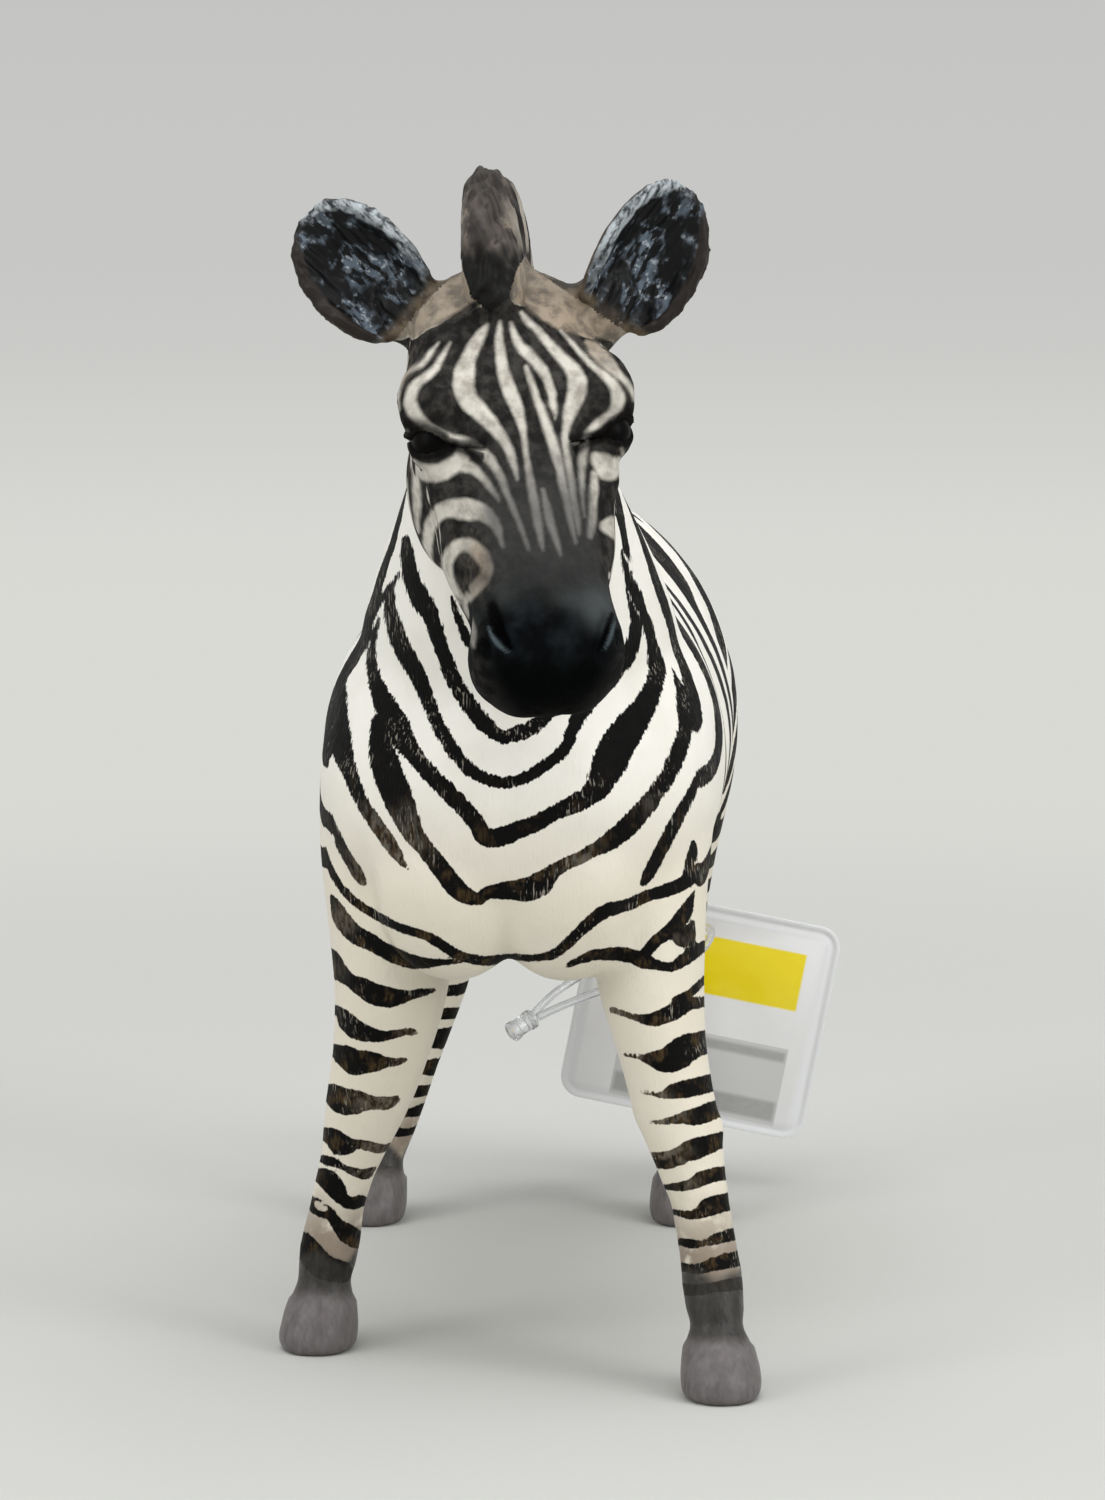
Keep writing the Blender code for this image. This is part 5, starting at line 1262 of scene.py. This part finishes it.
def snout_colour(paint):
    """Blue-black, with painted grey highlights over the nose, darker lips, painted shade in the nostrils
    and painted highlights on their rims.
    """
    number, tone = paint.number, paint.number("snout_tone")
    snout = paint.noise(2.2, 3).band(0.42, 0.8).mix((0.0022, 0.0027, 0.0031), (0.0115, 0.0150, 0.0175))
    # painted highlights over the nose, then darker towards the lips
    snout = tone.band(0, 1).mix(snout, (0.062, 0.070, 0.070))
    snout = tone.band(0, -1).mix(snout, (0.0008, 0.0012, 0.0011))
    # painted shade in the nostril slits, then painted highlights on their rims
    snout = number("nostril").mix(snout, (0.0006, 0.0006, 0.0006))
    return number("nostril_rim").mix(snout, (0.060, 0.079, 0.087))


def paint_skin():
    """Light and dark by the strokes' distance, then lids, muzzle, fetlocks and hooves."""
    paint = new_paint("painted skin")
    noise, number = paint.noise, paint.number
    face, brown, warm, muzzle = (number(name) for name in ("face", "brown", "warm", "muzzle"))
    hair = noise(0.40, 4, (1.8, 1.8, 0.42), 0.6)
    ragged = (noise(0.9, 4) - 0.5) * 0.26
    combed = (hair - 0.5) * ((1.0 - face) * warm.band(0, 1, 0.62, 0.22))
    soft = face.band(0, 1, 0.045, 0.20)
    dark = (number("ink") + (ragged + combed)).band(soft, soft * -1.0)
    patchy = noise(0.5, 4, (1, 1, 0.6)).band(0.36, 0.62)
    thin = brown * (1.0 - patchy) * face.band(0, 1, 0.14, 0.12)
    cover = dark * (1.0 - thin)
    tones = (face, brown, hair, warm)
    colour = cover.mix(light_colours(paint, *tones), dark_colours(paint, *tones))
    black_rim = number("eye_rim") * noise(0.8, 3).band(0.2, 0.7, 1.0, 0.85)
    colour = black_rim.mix(colour, (0.0045, 0.004, 0.004))
    colour = muzzle.mix(colour, snout_colour(paint))
    smoke = noise(0.7, 5, (1.5, 1.5, 0.6)).mix((0.005, 0.0046, 0.004), (0.066, 0.060, 0.053))
    colour = number("fetlock").mix(colour, smoke)
    horn = noise(0.8, 5, (1.6, 1.6, 0.5)).mix((0.052, 0.047, 0.046), (0.200, 0.182, 0.180))
    colour = number("hoof").mix(colour, horn)
    rough = noise(0.9, 3).band(0.3, 0.7, 0.30, 0.42) + face * 0.16 + cover * 0.20
    gloss = face.band(0, 1, 0.30, 0.14) * cover.band(0, 1, 1.0, 0.20) * muzzle.band(0, 1, 1.0, 0.8)
    grooves = hair + dark * (hair - 0.6)
    swells = paint.bump(noise(2.6, 4), 0.24, 0.6)
    return paint.finish(colour, rough, paint.bump(grooves, 0.10, 0.65, swells), gloss)


skin_paint = paint_skin()
print("painted skin", len(skin_paint.node_tree.nodes), "nodes")

# %% [markdown]
# ## Paints for ears, mane and tail
#
# Inside, an ear is black with blue-grey hair brushed over it, with a painted highlight on its upper
# rim and painted shade on its lower rim, and outside it is beige-brown. The mane is grey-brown over
# a black forelock, and on its sides the stripes of the neck go on. The tail is banded like a leg
# down to its dark tuft.

# %% Paints of the ears, the mane and the tail


def paint_ears():
    paint = new_paint("ear paint")
    noise, combed, along, rim = paint.noise, paint.combed, paint.number("along"), paint.number("rim")
    hide = noise(1.8, 4).band(0.38, 0.66).mix((0.150, 0.113, 0.074), (0.034, 0.027, 0.020))
    hide = noise(0.6, 4).band(0.56, 0.76).mix(hide, (0.24, 0.195, 0.145))
    root = (along + noise(1.4, 3)).band(1.9, 2.9)
    hide = (root * 0.75).mix(hide, (0.046, 0.034, 0.021))
    hide = (along.band(6.5, 8.5) * 0.85).mix(hide, (0.020, 0.018, 0.017))
    brushed = combed(0.85, 6, 1.0, 0.45).band(0.45, 0.55) * combed(3.0, 3, 0.8, 0.7).band(0.45, 0.55)
    hollow = brushed.mix((0.0022, 0.0024, 0.003), (0.120, 0.152, 0.188))
    spots = brushed * noise(0.45, 4).band(0.54, 0.64)
    hollow = spots.mix(hollow, (0.42, 0.47, 0.51))
    colour = paint.number("inside").mix(hide, hollow)
    # Painted highlight on the ear's upper rim, then painted shade on its lower rim
    rim_highlight = combed(0.5, 5, 1.0, 0.5).band(0.36, 0.62).mix((0.020, 0.023, 0.026), (0.40, 0.44, 0.46))
    colour = (along.band(3.0, 6.0, 0.35, 1.0) * rim.band(0.1, 0.8)).mix(colour, rim_highlight)
    colour = rim.band(-0.1, -0.7).mix(colour, (0.018, 0.013, 0.010))
    rough = noise(0.7, 3).band(0.3, 0.7, 0.40, 0.56)
    return paint.finish(colour, rough, paint.bump(combed(0.3, 4, 1.0, 0.4), 0.09, 0.8), 0.2)


def paint_mane():
    paint = new_paint("mane paint")
    noise, number, share = paint.noise, paint.number, paint.number("share")
    fur = paint.combed(0.8, 5).band(0.38, 0.68).mix((0.030, 0.025, 0.022), (0.118, 0.098, 0.082))
    fur = (noise(1.7, 4).band(0.55, 0.70) * 0.7).mix(fur, (0.26, 0.215, 0.165))
    stripe = number("mane_bands").band(-0.12, 0.12).mix((0.010, 0.009, 0.008), (0.44, 0.40, 0.34))
    flank = number("side") * share.band(0.90, 0.62)
    fur = (flank * 0.9).mix(fur, stripe)
    fur = (share.band(0.82, 1.0) * 0.6).mix(fur, (0.030, 0.026, 0.023))
    fur = number("forelock").mix(fur, (0.006, 0.0055, 0.005))
    fur = number("hair").band(-0.75, -0.2, 0.6, 0.0).mix(fur, (0.010, 0.009, 0.008))
    rough = noise(0.7, 3).band(0.3, 0.7, 0.46, 0.62)
    return paint.finish(fur, rough, paint.bump(paint.combed(0.28, 4), 0.09, 0.8), 0.2)


def paint_tail():
    paint = new_paint("tail paint")
    black = (0.006, 0.0055, 0.005)
    ring = paint.number("tail_bands").band(0.12, -0.12).mix((0.80, 0.76, 0.68), black)
    lock = paint.combed(0.5, 4).band(0.4, 0.7).mix(black, (0.055, 0.043, 0.033))
    rough = paint.noise(0.7, 3).band(0.3, 0.7, 0.34, 0.48)
    relief = paint.bump(paint.combed(0.35, 4), 0.07, 0.6)
    return paint.finish(paint.number("tuft").mix(ring, lock), rough, relief, 0.32)


ear_paint = paint_ears()
PAINTS = {"mane": paint_mane(), "tail": paint_tail(), "ear_left": ear_paint, "ear_right": ear_paint}
print("paints ready", sorted(PAINTS))

# %% [markdown]
# ## Cutting the skin at the parting lines
#
# The skin is shown as the pieces that the figure is cast in: head, trunk, ears, mane, tail and
# four legs. Their shared borders keep the normals of the whole skin, so no step shows there.

# %% Separate castings
FORELEG_CUT, BREAST_HALF, HINDLEG_FROM, HINDLEG_TO, TAIL_HALF = 34.5, 3.2, 15, 43, 3.4


def casting_faces(centres):
    """Which faces of the skin lie on each casting. A later casting takes from an earlier one."""
    x, y, z = centres.T
    away, down = nearest(centres, TAIL_ROUTE)
    foreleg = (z < FORELEG_CUT) & (y < 0)
    hindleg = (z < HIND_TOP) & (y > HINDLEG_FROM) & (y < HINDLEG_TO)
    return {
        "head": ahead_of_seam(centres) > 0,
        "mane": mane_chart(centres)[1] > 0.10,
        "tail": (away < TAIL_HALF) & (down > 1.3),
        "foreleg_left": foreleg & (x > BREAST_HALF),
        "foreleg_right": foreleg & (x < -BREAST_HALF),
        "hindleg_left": hindleg & (x > 0),
        "hindleg_right": hindleg & (x < 0),
        "ear_left": ear_chart(centres, "ear_left")[0] > 1.0,
        "ear_right": ear_chart(centres, "ear_right")[0] > 1.0,
    }


def split_skin(obj):
    """Separate the skin into one piece per casting. The torso is what is left."""
    parts = casting_faces(centres_of(obj))
    numbers = np.zeros(len(obj.data.polygons), np.int32)
    for index, chosen in enumerate(parts.values(), start=1):
        numbers[chosen] = index
    obj.data.attributes.new("casting", "INT", "FACE").data.foreach_set("value", numbers)
    made = {}
    for index, name in enumerate(parts, start=1):
        numbers = np.empty(len(obj.data.polygons), np.int32)
        obj.data.attributes["casting"].data.foreach_get("value", numbers)
        edit(obj, numbers == index)
        bpy.ops.mesh.separate(type="SELECTED")
        bpy.ops.object.mode_set(mode="OBJECT")
        made[name] = next(piece for piece in bpy.context.selected_objects if piece != obj)
    return {**made, "torso": obj}


kept = skin.data.attributes.new("kept_normal", "FLOAT_VECTOR", "POINT")
kept.data.foreach_set("vector", normals_of(skin).astype(np.float32).ravel())
for name, piece in split_skin(skin).items():
    piece.name = piece.data.name = name + "_skin"
    kept = rows_of(piece.data.attributes["kept_normal"].data, "vector")
    piece.data.polygons.foreach_set("use_smooth", [True] * len(piece.data.polygons))
    piece.data.normals_split_custom_set_from_vertices(kept)
    for helper in ("kept_normal", "casting"):
        piece.data.attributes.remove(piece.data.attributes[helper])
    hand_over(piece, PAINTS.get(name, skin_paint), "figure", name,
              "leg" if "leg" in name else name.split("_")[0])

# %% [markdown]
# ## Eyes
#
# The eyes are drops of gloss black under painted lids. A ball behind each opening gives the
# right bulge: it is a sphere whose hidden half is cut off, with a slightly raised cornea.

# %% Eyeballs
CORNEA_FROM, CORNEA_RISE = 0.80, 0.05


def paint_eyes():
    paint = new_paint("gloss black eye")
    noise = paint.noise
    tint = noise(0.9, 3).band(0.45, 0.75).mix((0.0009, 0.0008, 0.0008), (0.0035, 0.0022, 0.0016))
    rough = noise(0.4, 2).band(0.3, 0.8, 0.34, 0.46)
    return paint.finish(tint, rough, paint.bump(noise(0.7, 2), 0.02, 0.3), 0.05)


def make_eye(name, flip):
    """A glossy eyeball: its hidden back is cut off and closed."""
    pick()
    middle = Vector(from_head(np.array(EYE_CENTRE) * flip)) * MM
    bpy.ops.mesh.primitive_uv_sphere_add(
        segments=48, ring_count=24, radius=EYE_RADIUS * MM, location=middle)
    eye = bpy.context.object
    eye.name = eye.data.name = name + "_gloss"
    out = Vector((np.array(EYE_OUT) * flip) @ HEAD_AXES).normalized()
    bpy.ops.object.transform_apply(location=True, rotation=True, scale=True)
    edit(eye)
    bpy.ops.mesh.bisect(plane_co=middle, plane_no=out, clear_inner=True, use_fill=True)
    pick(eye)
    away = points_of(eye) - np.array(middle) / MM
    rise = step_up(away @ np.array(out) / EYE_RADIUS, CORNEA_FROM, 1.0) * CORNEA_RISE
    put_points(eye, points_of(eye) + away * rise[:, None])
    eye.data.polygons.foreach_set("use_smooth", [True] * len(eye.data.polygons))
    return eye


eye_paint = paint_eyes()
for name, flip in EYES.items():
    hand_over(make_eye(name, flip), eye_paint, "figure", name, "eye")

# %% [markdown]
# ## Swing tag
#
# Behind the figure hangs a tag on a clear filament round one hind leg. Its front is a white
# card in a clear, welded sleeve, with a plain yellow field and a plain grey one, and a small
# folded leaflet hangs behind it. Each sheet starts as a plane: its corners are beveled, it is
# extruded to its thickness and punched for the filament. The sleeve is inset for its weld line.

# %% Sheets of the tag
TAG_HOLE, HOLE_RADIUS, HOLE_IN_CARD = Vector((5.593, 46.159, 24.3)), 2.0, (-8.208, 6.8)
CARD_WIDE, CARD_HIGH, CARD_TILT = 22.8, 20.0, math.radians(11)
WELD_STEPS = ((0.35, 0.0), (0.12, -0.07), (0.30, 0.0), (0.12, 0.07), (0.25, 0.0), (0.10, 0.04))


def card_place(front):
    """The card's own axes, right, up and towards the viewer, at a front plane."""
    right = Vector((math.cos(CARD_TILT), 0, -math.sin(CARD_TILT)))
    up = Vector((math.sin(CARD_TILT), 0, math.cos(CARD_TILT)))
    centre = TAG_HOLE - right * HOLE_IN_CARD[0] - up * HOLE_IN_CARD[1]
    turn = Matrix((right, up, Vector((0, -1, 0)))).transposed()
    return Matrix.Translation(Vector((centre.x, front, centre.z)) * MM) @ turn.to_4x4()


def sheet_piece(name, wide, high, corner, thick, front, weld=()):
    """A sheet with round corners and its front on a plane, inset in steps for a weld."""
    pick()
    bpy.ops.mesh.primitive_plane_add(size=1)
    sheet = bpy.context.object
    sheet.name = sheet.data.name = name
    edit(sheet)
    bpy.ops.transform.resize(value=(wide * MM, high * MM, 1))
    bpy.ops.mesh.bevel(offset=corner * MM, segments=8, affect="VERTICES")
    bpy.ops.mesh.extrude_region_move(TRANSFORM_OT_translate={"value": (0, 0, -thick * MM)})
    bpy.ops.mesh.select_all(action="SELECT")
    bpy.ops.mesh.normals_make_consistent(inside=False)
    pick(sheet)
    if weld:
        edit(sheet, [abs(face.normal.z) > 0.9 for face in sheet.data.polygons])
    for width, depth in weld:
        bpy.ops.mesh.inset(thickness=width * MM, depth=depth * MM, use_individual=True)
    pick(sheet)
    sheet.matrix_world = card_place(front)
    bpy.ops.object.transform_apply(location=True, rotation=True, scale=True)
    return sheet


def punch(sheet):
    """Punch the hole for the filament, then round every edge a little."""
    pick()
    bpy.ops.mesh.primitive_cylinder_add(vertices=40, radius=HOLE_RADIUS * MM, depth=20 * MM,
                                        location=TAG_HOLE * MM, rotation=(math.pi / 2, 0, 0))
    cutter = bpy.context.object
    hole = sheet.modifiers.new("hole", "BOOLEAN")
    hole.object, hole.operation = cutter, "DIFFERENCE"
    bake(sheet)
    bpy.data.objects.remove(cutter, do_unlink=True)
    soften(sheet, 0.05, 50)
    return sheet


# %% Card in its welded sleeve
CARD_THICK, CARD_CORNER, CARD_FRONT = 0.42, 2.0, 45.30
SLEEVE_INNER = (-10.2, 10.2, -8.8, 8.8)
PRINT_SIDES = (-6.8, 8.7)


def field(paint, left, right, low, high, soft=0.12):
    """A rectangle of the card, as 0 or 1."""
    across, up = paint.number("card_across"), paint.number("card_up")
    sides = across.band(left, left + soft) * across.band(right, right - soft)
    return sides * (up.band(low, low + soft) * up.band(high, high - soft))


def paint_card():
    """White card with a plain yellow field, and a plain grey one with two bands."""
    paint = new_paint("sleeved card")
    noise = paint.noise
    white = noise(2.5, 4).mix((0.86, 0.86, 0.865), (0.90, 0.90, 0.90))
    colour = field(paint, *SLEEVE_INNER, 0.3).mix((0.83, 0.84, 0.85), white)
    colour = field(paint, *PRINT_SIDES, -9.1, -1.7).mix(colour, (0.67, 0.67, 0.665))
    grey = noise(0.5, 3, (1, 1, 6)).mix((0.36, 0.36, 0.355), (0.50, 0.50, 0.495))
    for low, high in ((-3.3, -1.9), (-8.9, -6.6)):
        colour = field(paint, *PRINT_SIDES, low, high, 0.5).mix(colour, grey)
    yellow = noise(1.5, 4).mix((0.90, 0.71, 0.001), (0.95, 0.76, 0.002))
    colour = field(paint, *PRINT_SIDES, 1.7, 7.3, 0.25).mix(colour, yellow)
    rough = noise(3.0, 3).band(0.3, 0.7, 0.16, 0.26)
    return paint.finish(colour, rough, paint.bump(noise(5.0, 3), 0.12, 0.5),
                        Coat_Weight=0.5, Coat_Roughness=0.08)


card = punch(sheet_piece("tag_card_print", CARD_WIDE, CARD_HIGH, CARD_CORNER, CARD_THICK, CARD_FRONT,
                         WELD_STEPS))
on_card = card_place(0).inverted()
flat = np.array([tuple(on_card @ vert.co) for vert in card.data.vertices]) / MM
put_values(card, card_across=flat[:, 0], card_up=flat[:, 1])
hand_over(card, paint_card(), "tag", "tag_card", "card")

# %% Leaflet behind the card
PAGES, LEAFLET_THICK, LEAFLET_FRONT, LEAFLET_LESS, PAGE_CORNER = 4, 1.0, 46.06, 1.0, 1.4
PAGE_STEP = 0.12
FOLD_WIDE, FOLD_SHORTER, FOLD_CORNER, FOLD_THICK = 0.5, 2.4, 0.1, 0.92
FOLD_FRONT, FOLD_INSIDE = 46.10, 0.75


def paint_pages():
    paint = new_paint("leaflet paper")
    fibres = paint.noise(0.25, 4, (1, 1, 0.4))
    colour = fibres.mix((0.76, 0.76, 0.75), (0.84, 0.84, 0.83))
    return paint.finish(colour, fibres.band(0.3, 0.7, 0.55, 0.7), paint.bump(fibres, 0.02, 0.5))


pages = []
for page in range(PAGES):
    less = PAGE_STEP * (page % 2)
    step = LEAFLET_THICK / PAGES
    pages.append(punch(sheet_piece(
        "page", CARD_WIDE - LEAFLET_LESS - less, CARD_HIGH - LEAFLET_LESS - less * 1.5,
        PAGE_CORNER, step * 0.82, LEAFLET_FRONT + page * step)))
fold = sheet_piece("fold", FOLD_WIDE, CARD_HIGH - FOLD_SHORTER, FOLD_CORNER, FOLD_THICK, FOLD_FRONT)
move = card_place(0).to_3x3() @ Vector((FOLD_INSIDE - CARD_WIDE / 2, 0, 0)) * MM
fold.data.transform(Matrix.Translation(move))
pick(*pages, fold)
bpy.ops.object.join()
leaflet = bpy.context.object
leaflet.name = leaflet.data.name = "tag_leaflet_pages"
hand_over(leaflet, paint_pages(), "tag", "tag_leaflet", "leaflet")

# %% [markdown]
# ## Filament and its lock
#
# The filament is a clear nylon thread of 0.7 mm that goes round the leg, through the tag's
# hole, and back into a small barrel lock. It is a free cord, so it is drawn as a curve with a
# round section along the same route as its casting, and the curve is then made a mesh.

# %% Filament
LOOP_PIVOT = np.array((10.093, 34.859, 23.8))
LOOP_ROUTE = np.array((
    (-11.8, -10.2, -4.6), (-10.0, -8.0, -3.0), (-7.0, -4.5, -1.4), (-5.6, 0.0, -1.0),
    (-6.0, 4.5, 0.0), (-7.8, 8.2, 0.6), (-9.2, 10.6, 0.8), (-8.2, 12.6, 0.8), (-5.8, 12.4, 0.6),
    (-3.2, 10.2, 0.4), (-0.4, 8.0, 0.6), (1.8, 6.0, 1.0), (3.2, 3.4, 1.2), (3.55, 0.0, 1.0),
    (2.7, -3.8, 0.2), (0.2, -7.2, -1.0), (-4.0, -9.6, -1.8), (-8.6, -10.6, -3.4), (-11.2, -11.4, -4.5),
))
FILAMENT = 0.7


def make_filament(route):
    """A round thread along a route."""
    curve = bpy.data.curves.new("loop_filament", "CURVE")
    curve.dimensions = "3D"
    curve.bevel_depth, curve.bevel_resolution = FILAMENT / 2 * MM, 5
    curve.use_fill_caps = True
    spline = curve.splines.new("POLY")
    spline.points.add(len(route) - 1)
    for knot, place in zip(spline.points, route):
        knot.co = (*(place * MM), 1)
    spline.use_smooth = True
    pick(added("loop_filament", curve))
    bpy.ops.object.convert(target="MESH")
    thread = bpy.context.object
    thread.name = thread.data.name = "loop_filament"
    return thread


def paint_nylon():
    paint = new_paint("clear nylon")
    haze = paint.noise(0.8, 3)
    colour = haze.mix((0.86, 0.88, 0.90), (0.95, 0.96, 0.97))
    return paint.finish(colour, haze.band(0.3, 0.7, 0.08, 0.20),
                        paint.bump(paint.noise(1.2, 2), 0.03, 0.5), Transmission_Weight=0.85, IOR=1.5)


nylon = paint_nylon()
knots = np.hstack([LOOP_ROUTE + LOOP_PIVOT, np.zeros((len(LOOP_ROUTE), 1))])
route = flowing(knots, 6)[:, :3]
filament = make_filament(route)
hand_over(filament, nylon, "loop", "tag_loop", "loop")

# %% Barrel lock
LOCK_LONG, LOCK_RADIUS, LOCK_FORWARD = 2.4, 0.9, 0.3
END_INSETS, SIDE_INSETS = ((0.22, 0.12), (0.28, -0.14)), ((0.55, 0.0), (0.08, -0.10))


def make_lock():
    """A small barrel with stepped ends and a groove round it, over the loop's two ends."""
    first, last = LOOP_ROUTE[0], LOOP_ROUTE[-1]
    away = Vector(first + last - LOOP_ROUTE[1] - LOOP_ROUTE[-2]).normalized()
    pick()
    bpy.ops.mesh.primitive_cylinder_add(vertices=32, radius=LOCK_RADIUS * MM, depth=LOCK_LONG * MM)
    lock = bpy.context.object
    lock.name = lock.data.name = "lock_barrel"
    edit(lock, [abs(face.normal.z) > 0.9 for face in lock.data.polygons])
    for width, depth in END_INSETS:
        bpy.ops.mesh.inset(thickness=width * MM, depth=depth * MM, use_individual=True)
    pick(lock)
    edit(lock, [abs(face.normal.z) < 0.1 and abs(face.center.z) < 0.01 * MM
                for face in lock.data.polygons])
    for width, depth in SIDE_INSETS:
        bpy.ops.mesh.inset(thickness=width * MM, depth=depth * MM)
    soften(lock, 0.06, 30)
    middle = Vector(LOOP_PIVOT + (first + last) / 2) + away * (LOCK_FORWARD + LOCK_LONG / 2)
    lock.matrix_world = Matrix.Translation(middle * MM) @ away.to_track_quat("Z", "Y").to_matrix().to_4x4()
    bpy.ops.object.transform_apply(location=True, rotation=True, scale=True)
    return lock


lock = make_lock()
hand_over(lock, nylon, "loop", "loop_lock", "loop")

# %% [markdown]
# ## The studio
#
# The photo is taken on a pale grey sweep under large soft lights. A wide round floor stands in
# for it. Near the figure it is plain paper that takes the shadows. Far out it glows, for the
# camera and for reflections only, in the grey of the backdrop, so that no horizon shows.

# %% Floor and backdrop, in metres
HORIZON, BRIGHTEST, CAMERA_AWAY = (0.572, 0.572, 0.561), (0.694, 0.700, 0.662), 0.38
FLOOR_RADIUS, FLOOR_INNER, GLOW_BEGINS, GLOW_FULL = 30, 1.4, 0.10, 0.34


def seen_directly(paint):
    """1 for rays from the camera, and for those that gloss and clear plastic send."""
    direct, gloss, clear = (paint.node("ShaderNodeLightPath", {}, f"Is {kind} Ray")
                            for kind in ("Camera", "Glossy", "Transmission"))
    return direct.at_least(gloss).at_least(clear)


def paint_floor():
    """Matt paper near the figure, and a glow in the backdrop's grey far out."""
    paint = new_paint("pale paper")
    colour = paint.noise(0.8, 4).mix((0.502, 0.505, 0.484), (0.520, 0.523, 0.502))
    paint.feed(paint.shader, {"Base Color": colour, "Roughness": 0.85, "Specular IOR Level": 0.2})
    where = paint.node("ShaderNodeTexCoord", {}, "Object")
    out = paint.node("ShaderNodeVectorMath", {0: where}, "Value", operation="LENGTH")
    nearness = 1.0 / (out + CAMERA_AWAY)
    glow = paint.node("ShaderNodeEmission", {
        "Color": nearness.band(0.1, 0.95).mix(HORIZON, BRIGHTEST), "Strength": 1.0})
    blend = paint.node("ShaderNodeMixShader", {
        0: out.band(GLOW_BEGINS, GLOW_FULL) * seen_directly(paint),
        1: Tone(paint, paint.shader.outputs[0]), 2: glow})
    paint.feed(paint.tree.nodes["Material Output"], {"Surface": blend})
    return paint.owner


pick()
bpy.ops.mesh.primitive_circle_add(vertices=128, radius=FLOOR_RADIUS, fill_type="NGON")
floor = bpy.context.object
floor.name = floor.data.name = "floor"
edit(floor)
bpy.ops.mesh.inset(thickness=FLOOR_RADIUS - FLOOR_INNER)
pick(floor)
floor.data.materials.append(paint_floor())

world = bpy.data.worlds.new("room")
bpy.context.scene.world = world
air = Paint(world, "Background")
generated = air.node("ShaderNodeTexCoord", {}, "Generated")
height = air.node("ShaderNodeSeparateXYZ", {0: generated}, "Z")
sky = height.band(0.0, 0.06).mix(HORIZON, (0.552, 0.552, 0.541))
air.feed(air.shader, {"Color": seen_directly(air).mix((0.56, 0.565, 0.57), sky), "Strength": 1.0})
bpy.context.scene.view_settings.view_transform = "Standard"
print("backdrop ready")

# %% Lights: place and size in metres, power in watts
LIGHTS = {
    "top light": ((0.05, -0.12, 0.80), (0.8, 0.7), 4.6),
    "left light": ((-0.65, -0.50, 0.45), (0.4, 0.5), 2.2),
    "right light": ((0.70, -0.40, 0.42), (0.4, 0.5), 2.8),
}
LIT_SPOT = Vector((0, 0, 0.045))

for name, (place, size, power) in LIGHTS.items():
    lamp = bpy.data.lights.new(name, "AREA")
    lamp.shape, lamp.energy = "RECTANGLE", power
    lamp.size, lamp.size_y = size
    aim(added(name, lamp), place, LIT_SPOT - Vector(place))
print("lights", len(LIGHTS))
